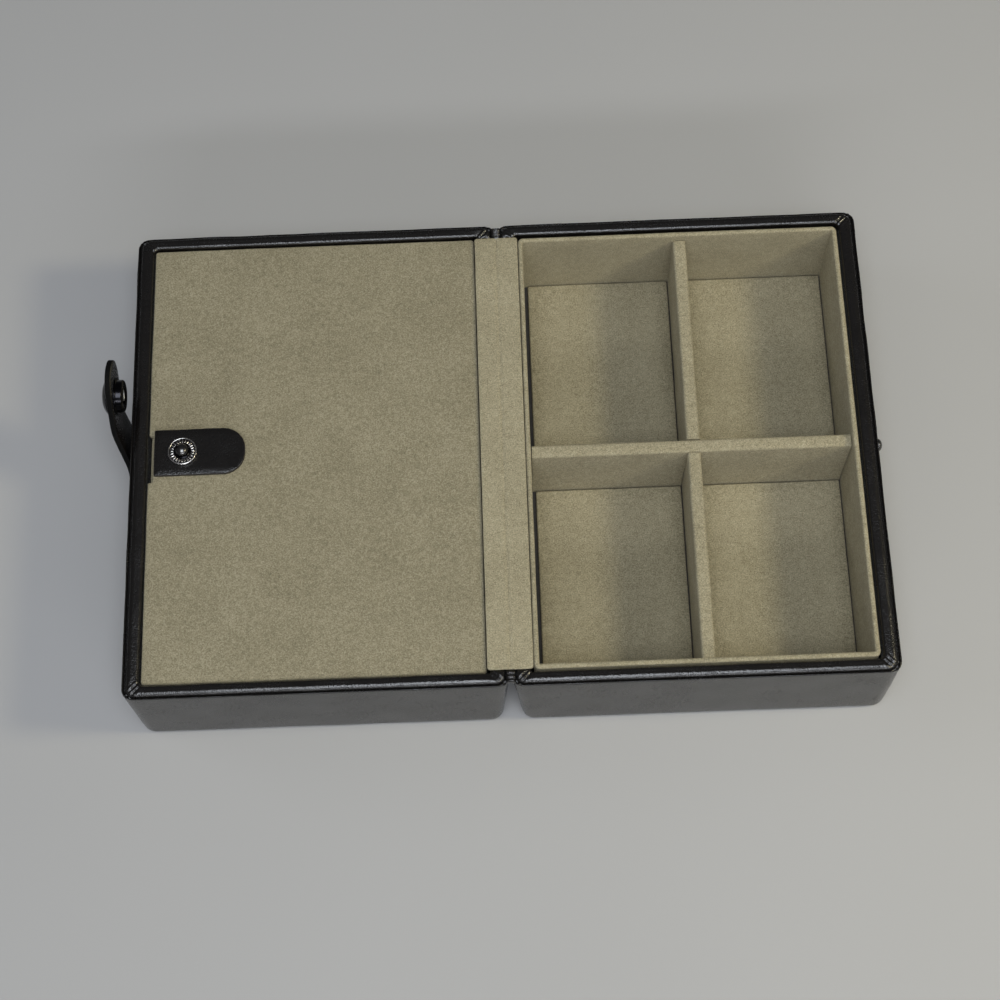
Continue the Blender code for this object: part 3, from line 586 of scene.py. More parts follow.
def wrap_half(name):
    """The base's skin: a rounded box whose top face is pushed along the rim's section."""
    section = rim_section()
    low = (HINGE_X + HINGE_SIDE_GAP, -HALF_DEPTH, 0)
    high = (HINGE_X + HALF_WIDTH, HALF_DEPTH, section[0][1])
    piece = block(name, low, high)
    edit(piece)
    pick("VERT", lambda place, item: place.z < TINY and place.x < 0)
    bpy.ops.transform.translate(value=(HINGE_SIDE_DRAFT, 0, 0))
    slice_across("Z", WALL_ROWS)
    for radius, side in ((CORNER_RADIUS, 1), (HINGE_CORNER_RADIUS, -1)):
        pick("EDGE", lambda place, item: runs_along(item, "Z", MM) and place.x * side > 0)
        bpy.ops.mesh.bevel(offset=radius, segments=8, affect="EDGES")
    pick("EDGE", lambda place, item: max(vert.co.z for vert in item.verts) < TINY)
    bpy.ops.mesh.bevel(offset=BOTTOM_RADIUS, segments=5, affect="EDGES")
    pick("FACE", lambda place, item: item.normal.z > 0.9)
    size = (high[0] - low[0], high[1] - low[1])
    for before, after in zip(section, section[1:]):
        ring_step(before, after, size, (low[0] + high[0]) / 2)
    for height, share in ((INSIDE_ROW, 0.4), (LEATHER, 1.0)):
        pick("VERT", lambda place, item: abs(place.z - height) < TINY and place.x < 0)
        bpy.ops.transform.translate(value=(HINGE_SIDE_DRAFT * share, 0, 0))
    done()
    return piece


base_leather = wrap_half("base_leather_cover")
print("faces:", len(base_leather.data.polygons))

# %% [markdown]
# The skin is then made less like a machined block. It is cut finer and smoothed, the rim is
# pressed flat where the hinge strip lies on it, the wall by the hinge swells, the end walls lean
# in, and fine folds are sunk into the rim where the leather is gathered round each corner. The
# lid's skin is a mirrored copy, and a slow noise makes each of the two uneven in its own way.

# %% Finer skin, strip seat and gathered corners
SEAT_Z = 0.0357
SEAT_STEP = 0.0004
STRIP_HALF_WIDTH = 0.00695
STRIP_HALF_LENGTH = 0.0729
SKIN_STEP = 0.0026
SWELL_REACH = 0.002
SWELL_CURVE = 1.8
END_LEAN = 0.0010
END_SQUEEZE = 0.0004
GATHER_INSET = 0.0035
GATHER_REACH = 0.0018
GATHER_STEP = 0.0013
GATHER_DEPTH = 0.00016
GATHER_FOOT = CREASE_Z - 3 * MM
SKIN_UNEVEN = {"height": 0.16 * MM, "size": 0.011, "keep": lambda place: min(place.z / 0.004, 1)}


def ease_skin(piece):
    """Cut the skin finer, press the rim flat where the strip lies on it, and round it all off."""
    low_x = HINGE_X + HINGE_SIDE_GAP
    high_x = HINGE_X + HALF_WIDTH
    corner = RIM_INSET + LEATHER
    edit(piece)
    for side in (-1, 1):
        slice_across("Y", [side * STRIP_HALF_LENGTH, side * (STRIP_HALF_LENGTH + SEAT_STEP)])
    slice_across("Y", spaced(corner - HALF_DEPTH, HALF_DEPTH - corner, SKIN_STEP))
    slice_across("X", spaced(low_x + corner, high_x - corner, SKIN_STEP))
    pick("VERT", lambda place, item: (
        place.x < low_x + RIM_INSET + MM and place.z > SEAT_Z
        and abs(place.y) < STRIP_HALF_LENGTH + TINY
    ))
    bpy.ops.transform.resize(value=(1, 1, 0), center_override=(low_x, 0, SEAT_Z))
    done()
    apply_modifier(piece, "SUBSURF", levels=1, render_levels=1)


def gather_corners(piece):
    """Sink fine folds into the rim where the leather is gathered round each corner."""
    mid_x = HINGE_X + (HALF_WIDTH + HINGE_SIDE_GAP) / 2
    corner_x = (HALF_WIDTH - HINGE_SIDE_GAP) / 2 - GATHER_INSET
    corner_y = HALF_DEPTH - GATHER_INSET
    moves = []
    for vert in piece.data.vertices:
        out = Vector((abs(vert.co.x - mid_x) - corner_x, abs(vert.co.y) - corner_y))
        along = (out.x + out.y) / math.sqrt(2)
        across = (out.x - out.y) / math.sqrt(2)
        fade = math.exp(-((across / GATHER_REACH) ** 2) - (along / (2 * GATHER_REACH)) ** 2)
        if vert.co.z > GATHER_FOOT and fade > 0.01:
            depth = GATHER_DEPTH * fade * (math.cos(math.tau * across / GATHER_STEP) - 1)
            moves.append((vert, vert.normal * depth))
    for vert, move in moves:
        vert.co += move


def swell_hinge_side(piece):
    """Let the wall along the hinge bulge between its ends, as leather does that is pulled round."""
    for vert in piece.data.vertices:
        share = 1 - vert.co.z / (CREASE_Z - SHOULDER_ROUND)
        wall_x = HINGE_X + HINGE_SIDE_GAP + HINGE_SIDE_DRAFT * share
        if share > 0 and abs(vert.co.x - wall_x) < 0.3 * MM:
            from_end = HALF_DEPTH - HINGE_CORNER_RADIUS - abs(vert.co.y)
            inside = min(max(from_end / SWELL_REACH, 0), 1)
            vert.co.x -= HINGE_SIDE_DRAFT * (share - share ** SWELL_CURVE) * inside


def lean_ends(piece):
    """Lean the front and back walls in a little, so that they end right under the rim's crease."""
    for vert in piece.data.vertices:
        past = abs(vert.co.y) - (HALF_DEPTH - RIM_INSET)
        if past > 0:
            crease = RIM_INSET - SHOULDER
            move = END_SQUEEZE * min(past / crease, 1)
            if past > crease:
                move += (END_LEAN - END_SQUEEZE) * (past - crease) / SHOULDER
            move *= min(vert.co.z / CREASE_Z, 1)
            vert.co.y -= math.copysign(move, vert.co.y)


ease_skin(base_leather)
swell_hinge_side(base_leather)
lean_ends(base_leather)
gather_corners(base_leather)
tidy(base_leather, angle=60)


def mirrored(piece, name):
    """A copy of a base piece, turned over the hinge line for the lid."""
    copy = piece.copy()
    copy.data = piece.data.copy()
    copy.name = name
    bpy.context.collection.objects.link(copy)
    edit(copy)
    bpy.ops.mesh.select_all(action="SELECT")
    bpy.ops.transform.resize(value=(-1, 1, 1), center_override=(HINGE_X, 0, 0))
    done()
    tidy(copy, angle=60)
    return copy


lid_leather = mirrored(base_leather, "lid_leather_cover")
settle(base_leather, seed=1, **SKIN_UNEVEN)
settle(lid_leather, seed=2, **SKIN_UNEVEN)
finish_piece(base_leather, [leather], "base", ["base_cover"])
finish_piece(lid_leather, [leather], "lid", ["lid_cover"])

# %% [markdown]
# ## Soft hinge
# A leather band joins the two covers, and a suede strip lies over it on the inside. On the real
# box both are single pieces that fold when the lid turns, so each is one mesh here too, cut into
# narrow rows near the hinge line so that it can bend there. Past the strip's ends the leather is
# gathered between the two rims in small pleats.

# %% Hinge strip
STRIP_THICKNESS = 0.0008
STRIP_CORNER = 0.0009
STRIP_EDGE = 0.22 * MM
STRIP_ROWS = (0, 0.2, 0.45, 0.75, 1.1, 1.6, 2.4, 3.6, 4.9, 6.0)
CENTRE_CREASE = 0.00028
CROSS_STEP = 0.003


def carry_rest_place(piece):
    """Write down where each point lies on the open box, for the finishes on bends."""
    attribute = piece.data.attributes.new(REST_PLACE, "FLOAT_VECTOR", "POINT")
    for vert, value in zip(piece.data.vertices, attribute.data):
        value.vector = vert.co


def hinge_strip():
    low = (HINGE_X - STRIP_HALF_WIDTH, -STRIP_HALF_LENGTH, CASE_HEIGHT - STRIP_THICKNESS)
    high = (HINGE_X + STRIP_HALF_WIDTH, STRIP_HALF_LENGTH, CASE_HEIGHT)
    piece = block("hinge_suede_strip", low, high)
    edit(piece)
    pick("EDGE", lambda place, item: runs_along(item, "Z"))
    bpy.ops.mesh.bevel(offset=STRIP_CORNER, segments=5, affect="EDGES")
    rows = sorted({HINGE_X + side * row * MM for row in STRIP_ROWS for side in (-1, 1)})
    slice_across("X", rows)
    slice_across("Y", spaced(-STRIP_HALF_LENGTH, STRIP_HALF_LENGTH, CROSS_STEP))
    pick("EDGE", lambda place, item: item.calc_face_angle(0) > 1)
    bpy.ops.mesh.bevel(offset=STRIP_EDGE, segments=2, affect="EDGES")
    for reach in (0.5 * MM, 0.1 * MM):
        pick("VERT", lambda place, item: (
            abs(place.x - HINGE_X) < reach and place.z > CASE_HEIGHT - 0.5 * MM
        ))
        bpy.ops.transform.translate(value=(0, 0, -CENTRE_CREASE / 2))
    done()
    return piece


strip = hinge_strip()
tidy(strip)
settle(strip, height=0.10 * MM, size=0.006, seed=3)
carry_rest_place(strip)
finish_piece(strip, [bent_suede], None, ["hinge_suede_base", "hinge_suede_lid"])
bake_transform(strip)

# %% Leather band
BAND_HALF_WIDTH = 0.0015
BAND_HALF_LENGTH = 0.0768
BAND_TOP = 0.0359
BAND_THICKNESS = 0.0010
BAND_EDGE = 0.25 * MM
BAND_ROWS = (-1.1, -0.8, -0.5, -0.25, 0, 0.25, 0.5, 0.8, 1.1)
PLEAT = 0.0013
PLEAT_CUTS = 22
PLEAT_RISE = 0.0008
PLEAT_DEPTH = 0.00025

band_low = (HINGE_X - BAND_HALF_WIDTH, -BAND_HALF_LENGTH, BAND_TOP - BAND_THICKNESS)
band_high = (HINGE_X + BAND_HALF_WIDTH, BAND_HALF_LENGTH, BAND_TOP)
band = block("hinge_leather_band", band_low, band_high)
edit(band)
bpy.ops.mesh.select_all(action="SELECT")
bpy.ops.mesh.bevel(offset=BAND_EDGE, segments=2, affect="EDGES")
slice_across("X", [HINGE_X + row * MM for row in BAND_ROWS])
slice_across("Y", spaced(-BAND_HALF_LENGTH, BAND_HALF_LENGTH, CROSS_STEP))
for side in (-1, 1):
    cuts = [STRIP_HALF_LENGTH + cut * PLEAT / 6 for cut in range(1, PLEAT_CUTS + 1)]
    slice_across("Y", [side * cut for cut in cuts])
done()
for vert in band.data.vertices:
    if abs(vert.co.y) > STRIP_HALF_LENGTH + 0.2 * MM and vert.co.z > BAND_TOP - 0.4 * MM:
        arch = 1 - 0.6 * (abs(vert.co.x - HINGE_X) / BAND_HALF_WIDTH) ** 3
        fold = math.sin(math.tau * (vert.co.y / PLEAT + 60 * (vert.co.x - HINGE_X)))
        vert.co.z += PLEAT_RISE * arch + PLEAT_DEPTH * fold
tidy(band)
carry_rest_place(band)
BAND_NODES = ["hinge_leather_base", "hinge_leather_lid"]
finish_piece(band, [leather_bent], None, BAND_NODES)
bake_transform(band)

# %% [markdown]
# ## Suede walls
# The tray's walls are card wrapped in suede and set inside the leather. One ring of wall is
# enough: a box's upright edges are rounded, its top and bottom are taken off, and the sheet
# that is left gets its thickness inwards. The lid has the same walls, lower, under its panel.

# %% Tray and lid walls
LINER_INSET = RIM_INSET + 0.0008
LINER_NEAR = 0.0071
LINER_THICKNESS = 0.0016
LINER_CORNER = 0.00175
LINER_BOTTOM = 0.0043
TRAY_TOP = 0.0364
LID_WALL_TOP = 0.0331
WALL_EDGE = 0.00065
WALL_STEP = 0.006


def suede_walls(name, side, top):
    near = HINGE_X + side * LINER_NEAR
    far = HINGE_X + side * (HALF_WIDTH - LINER_INSET)
    half_depth = HALF_DEPTH - LINER_INSET
    low_x, high_x = sorted((near, far))
    piece = block(name, (low_x, -half_depth, LINER_BOTTOM), (high_x, half_depth, top))
    edit(piece)
    pick("EDGE", lambda place, item: runs_along(item, "Z", MM))
    bpy.ops.mesh.bevel(offset=LINER_CORNER, segments=6, affect="EDGES")
    pick("FACE", lambda place, item: abs(item.normal.z) > 0.9)
    bpy.ops.mesh.delete(type="FACE")
    inner = LINER_CORNER + MM
    slice_across("Y", spaced(inner - half_depth, half_depth - inner, WALL_STEP))
    slice_across("X", spaced(low_x + inner, high_x - inner, WALL_STEP))
    slice_across("Z", spaced(LINER_BOTTOM, top, WALL_STEP))
    done()
    apply_modifier(piece, "SOLIDIFY", thickness=LINER_THICKNESS, offset=-1, use_even_offset=True)
    edit(piece)
    pick("EDGE", lambda place, item: place.z > top - TINY and item.calc_face_angle(0) > 1)
    bpy.ops.mesh.bevel(offset=WALL_EDGE, segments=4, affect="EDGES")
    done()
    return piece


WALLS = (
    (suede_walls("tray_suede_walls", 1, TRAY_TOP), "base", "tray_liner", 4),
    (suede_walls("lid_suede_walls", -1, LID_WALL_TOP), "lid", "lid_liner", 5),
)
for walls, body, node, seed in WALLS:
    tidy(walls)
    settle(walls, 0.12 * MM, 0.014, seed, lambda place: (place.z - LINER_BOTTOM) / TRAY_TOP)
    finish_piece(walls, [edging_suede], body, [node])

# %% [markdown]
# ## Floor cards
# A thin padded card lies on the floor of each compartment, and one under the lid's panel. Each
# stops short of the wall on its left, which leaves the dark slit seen along the tray's floors. A
# block with softened edges is cut into a grid, and its middle is raised a little as padding does.

# %% Floor cards
CARD_EDGE = 0.0005
CARD_CROWN = 0.00025
CARD_SLIT = 0.0004
CARD_STEP = 0.004
FIRST_CARD_SEED = 6


def padded_card(name, low, high, seed):
    piece = block(name, low, high)
    apply_modifier(piece, "BEVEL", width=CARD_EDGE, segments=3, limit_method="NONE")
    edit(piece)
    slice_across("X", spaced(low.x + MM, high.x - MM, CARD_STEP))
    slice_across("Y", spaced(low.y + MM, high.y - MM, CARD_STEP))
    done()
    tidy(piece)
    middle = (low + high) / 2
    half = (high - low) / 2
    for vert in piece.data.vertices:
        if vert.co.z > middle.z:
            across = 1 - ((vert.co.x - middle.x) / half.x) ** 4
            along = 1 - ((vert.co.y - middle.y) / half.y) ** 4
            vert.co.z += CARD_CROWN * across * along
    settle(piece, 0.08 * MM, 0.012, seed, lambda place: float(place.z > middle.z))
    return piece


CARD_NODES = [f"tray_floor_pad_{number}" for number in (1, 2, 3, 4)] + ["lid_floor_pad"]
for number, node in enumerate(CARD_NODES):
    low, high = (Vector(corner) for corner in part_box(node))
    low.x += CARD_SLIT
    body = "lid" if node.startswith("lid") else "base"
    card = padded_card(node.replace("pad", "card"), low, high, FIRST_CARD_SEED + number)
    finish_piece(card, [suede], body, [node])

# %% [markdown]
# ## Dividers
# Two suede boards are halved into each other: the long one is slotted from below and stays
# whole on top, and the cross one is slotted from above. Their top edges are rolled. A board could
# be drawn round its slot, but it is quicker to cut the slot out of a whole one with a block.

# %% Dividers
DIVIDER_EDGE = 0.0009
DIVIDER_STEP = 0.004
DIVIDER_ROWS = 0.005
SLOT_GAP = 0.00025


def cut_away(piece, cutter):
    """Cut one piece's shape out of another and throw the cutter away."""
    apply_modifier(piece, "BOOLEAN", object=cutter, operation="DIFFERENCE", solver="EXACT")
    bpy.data.objects.remove(cutter)


def divider(name, node, axis, slot_low, slot_high, seed):
    low, high = (Vector(corner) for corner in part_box(node))
    piece = block(name, low, high)
    index = "XYZ".index(axis)
    edit(piece)
    pick("EDGE", lambda place, item: place.z > high.z - TINY and runs_along(item, axis, MM))
    bpy.ops.mesh.bevel(offset=DIVIDER_EDGE, segments=5, affect="EDGES")
    done()
    cut_away(piece, block("slot_cutter", slot_low, slot_high))
    edit(piece)
    slice_across(axis, spaced(low[index] + MM, high[index] - MM, DIVIDER_STEP))
    slice_across("Z", spaced(low.z + MM, high.z - 2 * MM, DIVIDER_ROWS))
    done()
    tidy(piece)
    settle(piece, height=0.14 * MM, size=0.012, seed=seed)
    finish_piece(piece, [edging_suede], "base", [node])


long_low, long_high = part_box("long_divider")
cross_low, cross_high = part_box("cross_divider")
middle_z = (long_low[2] + long_high[2]) / 2
divider(
    "long_suede_divider", "long_divider", "X",
    (cross_low[0] - SLOT_GAP, long_low[1] - MM, long_low[2] - MM),
    (cross_high[0] + SLOT_GAP, long_high[1] + MM, middle_z + SLOT_GAP), seed=12,
)
divider(
    "cross_suede_divider", "cross_divider", "Y",
    (cross_low[0] - MM, long_low[1] - SLOT_GAP, middle_z - SLOT_GAP),
    (cross_high[0] + MM, long_high[1] + SLOT_GAP, long_high[2] + MM), seed=13,
)

# %% [markdown]
# ## Cover panel
# The lid's hollow is closed by a stiff card wrapped in suede, with a shallow notch at its outer
# edge where a finger lifts it. A block is notched, its edges are softened as wrapped suede is,
# and a fine grid of cuts lets its face be a little uneven.

# %% Cover panel
PANEL_CORNER = 0.0010
PANEL_EDGE = 0.0006
NOTCH_HALF = 0.0079
NOTCH_DEPTH = 0.0016
NOTCH_CORNER = 0.0009
PANEL_STEP = 0.0035

panel_low, panel_high = (Vector(corner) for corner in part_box("cover_panel_suede"))
panel = block("cover_panel", panel_low, panel_high)
edit(panel)
pick("EDGE", lambda place, item: runs_along(item, "Z", MM))
bpy.ops.mesh.bevel(offset=PANEL_CORNER, segments=4, affect="EDGES")
done()
notch_cutter = block(
    "notch_cutter",
    (panel_low.x - MM, -NOTCH_HALF, panel_low.z - MM),
    (panel_low.x + NOTCH_DEPTH, NOTCH_HALF, panel_high.z + MM),
)
edit(notch_cutter)
pick("EDGE", lambda place, item: runs_along(item, "Z", MM) and place.x > panel_low.x)
bpy.ops.mesh.bevel(offset=NOTCH_CORNER, segments=4, affect="EDGES")
done()
cut_away(panel, notch_cutter)
apply_modifier(
    panel, "BEVEL",
    width=PANEL_EDGE, segments=4, limit_method="ANGLE", angle_limit=math.radians(50),
)
edit(panel)
slice_across("X", spaced(panel_low.x + 3 * MM, panel_high.x - 3 * MM, PANEL_STEP))
slice_across("Y", spaced(panel_low.y + 3 * MM, panel_high.y - 3 * MM, PANEL_STEP))
done()
tidy(panel)
settle(panel, 0.16 * MM, 0.016, 14, lambda place: float(place.z > panel_low.z + MM))
finish_piece(panel, [panel_suede], "lid", ["cover_panel_suede", "cover_panel_card"])

# %% [markdown]
# ## Leather tab
# The tab on the panel is a single thickness of leather with raw, paler cut edges. It is straight
# by the notch and round at its free end, and the stud is riveted near the notch. A thin block
# with rounded corners is cut into a grid, so that it can lie a little unevenly, as leather does.

# %% Leather tab
TAB_ROUND = 0.0070
TAB_CORNER = 0.0005
TAB_BEVEL = 0.00018
TAB_STEP = 0.0015
TAB_EDGE_FACING = 0.95

tab_low, tab_high = (Vector(corner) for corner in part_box("panel_tab"))
tab = block("leather_tab", tab_low, tab_high)
edit(tab)
pick("EDGE", lambda place, item: runs_along(item, "Z") and place.x > tab_low.x + MM)
bpy.ops.mesh.bevel(offset=TAB_ROUND, segments=14, affect="EDGES")
pick("EDGE", lambda place, item: runs_along(item, "Z") and place.x < tab_low.x + TINY)
bpy.ops.mesh.bevel(offset=TAB_CORNER, segments=3, affect="EDGES")
pick("EDGE", lambda place, item: item.calc_face_angle(0) > 1)
bpy.ops.mesh.bevel(offset=TAB_BEVEL, segments=2, affect="EDGES")
slice_across("X", spaced(tab_low.x + MM, tab_high.x - MM, TAB_STEP))
slice_across("Y", spaced(tab_low.y + MM, tab_high.y - MM, TAB_STEP))
done()
tidy(tab)
settle(tab, height=0.10 * MM, size=0.007, seed=15)
finish_piece(tab, [leather, cut_edge], "lid", ["panel_tab"])


def paint(piece, index, test):
    """Give the faces that pass a test another of the piece's materials."""
    count = 0
    for face in piece.data.polygons:
        if test(face):
            face.material_index = index
            count += 1
    return count


print("tab edge faces:", paint(tab, 1, lambda face: abs(face.normal.z) < TAB_EDGE_FACING))

# %% [markdown]
# ## Snap studs
# The stud is a pressed metal plate with a rolled lip, a dish with a ring of fine radial ribs, and
# a ball on a neck; the dish is painted nearly black and the ball darker, as painted shade and
# reflection. Round things are turned as on a lathe: half of the section is drawn point by point
# and spun about its axis. One rib is made and spun into a ring of copies. The same stud is used
# twice, on the tab and on the base's wall, each copy with its own mesh.

# %% Lathe
LATHE_STEPS = 64


def lathe(name, section):
    """Draw a section of radius and height point by point, and spin it about Z."""
    bpy.ops.object.select_all(action="DESELECT")
    bpy.ops.mesh.primitive_plane_add(size=MM)
    piece = bpy.context.object
    piece.name = name
    bpy.ops.object.mode_set(mode="EDIT")
    bpy.ops.mesh.select_mode(type="VERT")
    bpy.ops.mesh.select_all(action="SELECT")
    bpy.ops.mesh.merge(type="CENTER")
    points = [Vector((radius, 0, height)) * MM for radius, height in section]
    bpy.ops.transform.translate(value=points[0])
    for before, after in zip(points, points[1:]):
        bpy.ops.mesh.extrude_vertices_move(TRANSFORM_OT_translate={"value": after - before})
    bpy.ops.mesh.select_all(action="SELECT")
    bpy.ops.mesh.spin(steps=LATHE_STEPS, angle=math.tau, center=(0, 0, 0), axis=(0, 0, 1))
    done()
    tidy(piece, angle=50)
    return piece


def seat(piece, place):
    """Move a piece that was made at the origin to its place, which stays in its mesh."""
    piece.matrix_world = place
    bpy.ops.object.select_all(action="DESELECT")
    piece.select_set(True)
    bpy.context.view_layer.objects.active = piece
    bpy.ops.object.transform_apply(location=True, rotation=True, scale=True)


print("lathe with", LATHE_STEPS, "steps")

# %% Snap stud
RIBS = 24
RIB_LENGTH = 0.00125
RIB_WIDTH = 0.00056
RIB_HEIGHT = 0.00064
RIB_RADIUS = 0.00328
RIB_Z = 0.00044
NECK_Z = 0.9 * MM
DISH_RADIUS = 4.1 * MM


def stud_section():
    """Half of the stud's section in millimetres, from its hollow out over the lip to the ball."""
    points = [(0, 1.6), (1.5, 1.6), (1.5, 0), (4.45, 0), (4.6, 0.15)]
    points += arc((4.3, 0.42), 0.3, 0, 180, 8)
    points += [(3.98, 0.20), (3.92, 0.06), (2.6, 0.06), (2.35, 0.06), (2.1, 0.10)]
    points += [(1.85, 0.4), (1.7, 1.0), (1.84, 1.29)]
    points += arc((1.45, 1.75), 0.6, -50, 50, 6) + arc((0, 0.3), 2.7, 47, 90, 8)
    return points


def snap_stud(name):
    """A turned stud with its ring of ribs, in gunmetal, with painted shade on the dish and a darker
    painted reflection on the ball.
    """
    piece = lathe(name, stud_section())
    rib_corner = Vector((RIB_LENGTH, RIB_WIDTH, RIB_HEIGHT)) / 2
    rib = block("rib", -rib_corner, rib_corner)
    apply_modifier(rib, "BEVEL", width=RIB_WIDTH * 0.48, segments=4, limit_method="NONE")
    edit(rib)
    bpy.ops.mesh.select_all(action="SELECT")
    bpy.ops.transform.translate(value=(RIB_RADIUS, 0, RIB_Z))
    bpy.ops.mesh.spin(steps=RIBS, angle=math.tau, center=(0, 0, 0), axis=(0, 0, 1), dupli=True)
    done()
    tidy(rib)
    for metal in (gunmetal, painted_shade_black_metal, painted_reflection_dark_metal):
        piece.data.materials.append(metal)
    rib.data.materials.append(gunmetal)
    # Painted shade and reflection: the dish nearly black, the ball a darker copy of the plating.
    paint(piece, 1, lambda face: face.center.z < NECK_Z and face.center.xy.length < DISH_RADIUS)
    paint(piece, 2, lambda face: face.center.z > NECK_Z)
    bpy.ops.object.select_all(action="DESELECT")
    rib.select_set(True)
    piece.select_set(True)
    bpy.context.view_layer.objects.active = piece
    bpy.ops.object.join()
    return piece


tab_stud = snap_stud("tab_snap_stud")
wall_stud = tab_stud.copy()
wall_stud.data = tab_stud.data.copy()
wall_stud.name = "wall_snap_stud"
bpy.context.collection.objects.link(wall_stud)

TAB_STUD_PLACE = Vector((-160.3, 1.5, 37.3)) * MM
WALL_STUD_PLACE = Vector((57.3, 0, 24.5)) * MM
QUARTER_TURN = math.radians(90)
seat(tab_stud, Matrix.Translation(TAB_STUD_PLACE))
seat(wall_stud, Matrix.Translation(WALL_STUD_PLACE) @ Matrix.Rotation(QUARTER_TURN, 4, "Y"))
finish_piece(tab_stud, [], "lid", ["tab_stud"])
finish_piece(wall_stud, [], "base", ["closure_stud"])

# %% [markdown]
# ## Closure strap
# The strap is one band of leather, riveted to the lid's outer wall low down. It stands up beside
# the wall at a slant, and its free end carries the snap's socket on the inner face and a domed
# cap on the outer one. It is modelled upright, as a long block cut into rows, and then leaned and
# turned on its rivet. The band folds just above the rivet, so it bends between two bodies there.

# %% Strap
RIVET_PLACE = Vector((-177.0, 0, 15.0)) * MM
STRAP_HALF = 0.0075
STRAP_THICKNESS = 0.0018
STRAP_TIP = 0.0468
STRAP_SKEW = math.radians(31)
STRAP_LEAN = math.radians(1.8)
FOLD_HEIGHT = 0.0090
RISE = 0.0195
RISE_EASE = 0.3
WALL_GAP = 0.0003
REACH = 0.00395
STRAP_EDGE = 0.0003
STRAP_END_FLAT = 0.3 * MM
STRAP_ROWS = 0.0015
STRAP_COLUMNS = 0.002
STRAP_EDGE_FACING = 0.75


def strap_offset(along):
    """How far the strap's inner face stands off the wall at a distance up from the rivet."""
    share = min(max((along - FOLD_HEIGHT) / RISE, 0), 1)
    if share < RISE_EASE:
        risen = share * share / (2 * RISE_EASE)
    elif share < 1 - RISE_EASE:
        risen = share - RISE_EASE / 2
    else:
        risen = 1 - RISE_EASE - (1 - share) ** 2 / (2 * RISE_EASE)
    return WALL_GAP + (REACH - WALL_GAP) * risen / (1 - RISE_EASE)


strap_low = (-STRAP_THICKNESS, -STRAP_HALF, -STRAP_HALF)
strap = block("closure_strap_band", strap_low, (0, STRAP_HALF, STRAP_TIP))
edit(strap)
pick("EDGE", lambda place, item: runs_along(item, "X"))
bpy.ops.mesh.bevel(offset=STRAP_HALF - STRAP_END_FLAT, segments=12, affect="EDGES")
pick("EDGE", lambda place, item: item.calc_face_angle(0) > 1)
bpy.ops.mesh.bevel(offset=STRAP_EDGE, segments=2, affect="EDGES")
slice_across("Z", spaced(-STRAP_HALF + MM, STRAP_TIP - MM, STRAP_ROWS))
slice_across("Y", spaced(-STRAP_HALF + MM, STRAP_HALF - MM, STRAP_COLUMNS))
done()
tidy(strap)
for vert in strap.data.vertices:
    vert.co.x -= strap_offset(vert.co.z)
settle(strap, height=0.12 * MM, size=0.009, seed=16)
print("strap stands off", round(strap_offset(STRAP_TIP) / MM, 2), "mm at its tip")

# %% Lean the strap and bend it at its fold
fold_point = Vector((-WALL_GAP - STRAP_THICKNESS, 0, FOLD_HEIGHT))
swivel_place = Matrix.Translation(RIVET_PLACE) @ Matrix.Rotation(-STRAP_SKEW, 4, "X")
fold_place = swivel_place @ Matrix.Translation(fold_point) @ Matrix.Rotation(STRAP_LEAN, 4, "Y")
for vert in strap.data.vertices:
    share = min(max((vert.co.z - FOLD_HEIGHT) / (2 * MM) + 0.5, 0), 1)
    low_place = swivel_place @ vert.co
    high_place = fold_place @ (vert.co - fold_point)
    vert.co = low_place.lerp(high_place, share)
carry_rest_place(strap)
STRAP_NODES = ["strap_root", "closure_strap"]
finish_piece(strap, [leather_bent, dyed_edge], None, STRAP_NODES)
out_face = (swivel_place.to_3x3() @ Vector((1, 0, 0))).normalized()
edge_faces = paint(strap, 1, lambda face: abs(face.normal.dot(out_face)) < STRAP_EDGE_FACING)
print("strap edge faces:", edge_faces)
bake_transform(strap)

# %% [markdown]
# ## Rivet, socket and cap
# The strap's root is held by a low domed rivet. At its free end the socket has a flange, a round
# lip and a mouth for the ball, and the cap outside is a smooth dome with a rolled edge. All three
# are round, so the lathe turns them from their sections, and then they are turned into place.

# %% Rivet, socket and cap
SNAP_HEIGHT = 0.0348
MOUTH_PLANE = 0.00135


def rivet_section():
    """From the washer inside the lid along the shank to the domed head, in millimetres."""
    points = [(0, -4.97), (2.6, -4.97), (3.0, -4.7), (3.0, -4.3), (1.2, -4.3), (1.2, 2.4)]
    points += [(3.75, 2.4), (3.98, 2.52), (3.98, 2.66), (3.7, 2.9), (3.2, 3.18), (2.5, 3.40)]
    return points + [(1.6, 3.55), (0.8, 3.6), (0, 3.6)]


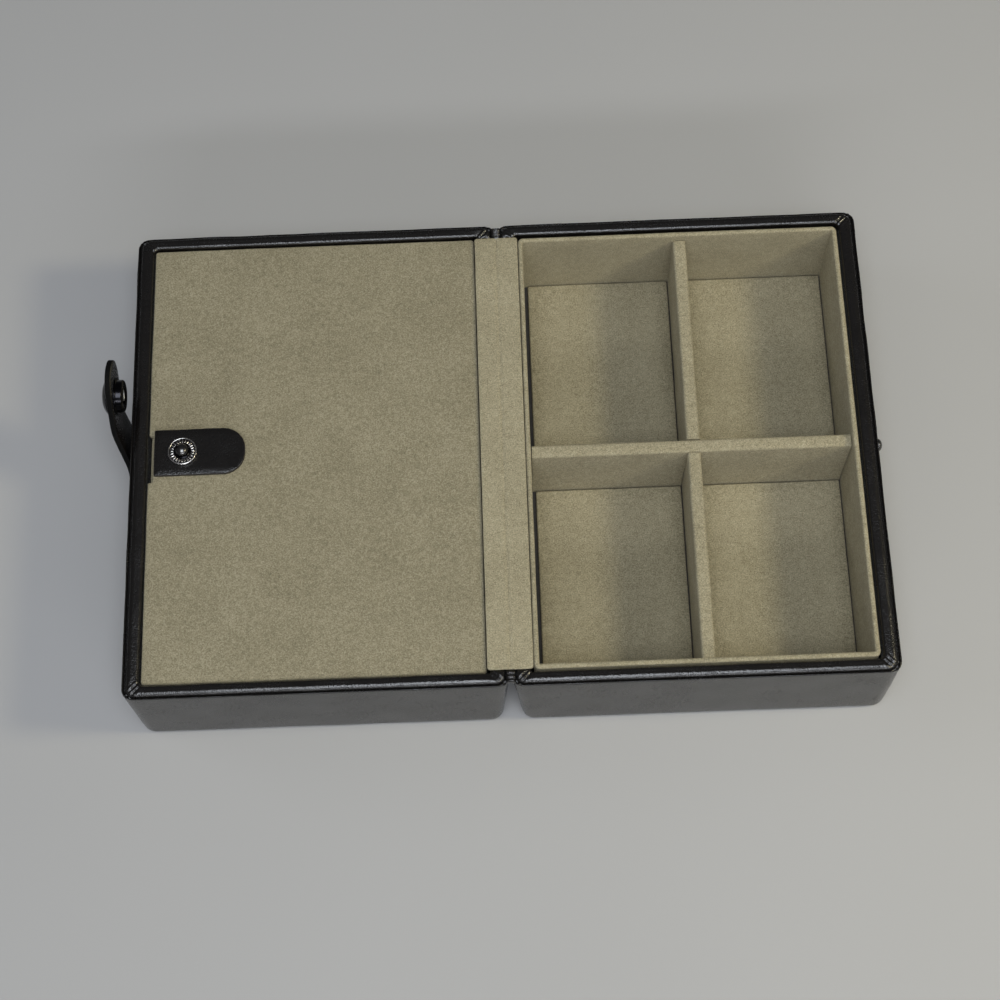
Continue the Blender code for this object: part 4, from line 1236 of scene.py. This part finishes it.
def socket_section():
    """Round the flange, up over the lip, into the mouth and down to the ring's groove."""
    points = [(1.5, -2.6), (5.8, -2.6), (5.9, -2.5), (5.9, -2.15), (5.78, -2.02), (5.2, -2.0)]
    points += [(5.15, -1.85)] + arc((4.45, -0.7), 0.7, 0, 90, 7)
    points += [(3.7, 0), (3.4, -0.12), (3.2, -0.05), (2.9, 0), (2.75, -0.08), (2.75, -0.3)]
    points += [(3.6, -0.3), (3.6, -1.3), (2.75, -1.3), (2.75, -2.25), (1.5, -2.25)]
    return points + [points[0]]


def cap_section():
    """From the cap's own post out to its rolled edge and over the dome."""
    points = [(0, -2.25), (1.2, -2.25), (1.2, -4.7), (5.6, -4.7)]
    points += arc((5.55, -4.95), 0.25, 90, -60, 5)
    points += [(5.45, -5.3), (5.0, -5.72), (4.3, -6.12), (3.4, -6.45), (2.3, -6.69)]
    return points + [(1.2, -6.79), (0, -6.8)]


rivet = lathe("strap_rivet_dome", rivet_section())
seat(rivet, Matrix.Translation(RIVET_PLACE) @ Matrix.Rotation(-QUARTER_TURN, 4, "Y"))
finish_piece(rivet, [gunmetal], "lid", ["strap_rivet"])

snap_shift = Vector((-MOUTH_PLANE, 0, SNAP_HEIGHT)) - fold_point
snap_place = fold_place @ Matrix.Translation(snap_shift) @ Matrix.Rotation(QUARTER_TURN, 4, "Y")
# The socket and cap take the nearly black copy of the plating, as painted shade and reflection.
socket = lathe("snap_socket_ring", socket_section())
seat(socket, snap_place)
finish_piece(socket, [painted_shade_black_metal], "strap", ["snap_socket"])
cap = lathe("snap_cap_dome", cap_section())
seat(cap, snap_place)
finish_piece(cap, [painted_shade_black_metal], "strap", ["snap_cap"])

# %% [markdown]
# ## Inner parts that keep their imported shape
# The boards, posts and spring ring are right as they are, so they only get their finishes.

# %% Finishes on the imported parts
KEPT_FINISHES = {
    "base_board": board,
    "lid_board": board,
    "closure_stud_post": steel,
    "tab_stud_post": steel,
    "socket_spring": steel,
}
for node, finish in KEPT_FINISHES.items():
    for material_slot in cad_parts[node].material_slots:
        material_slot.material = finish
print("kept nodes:", sorted(KEPT_FINISHES))
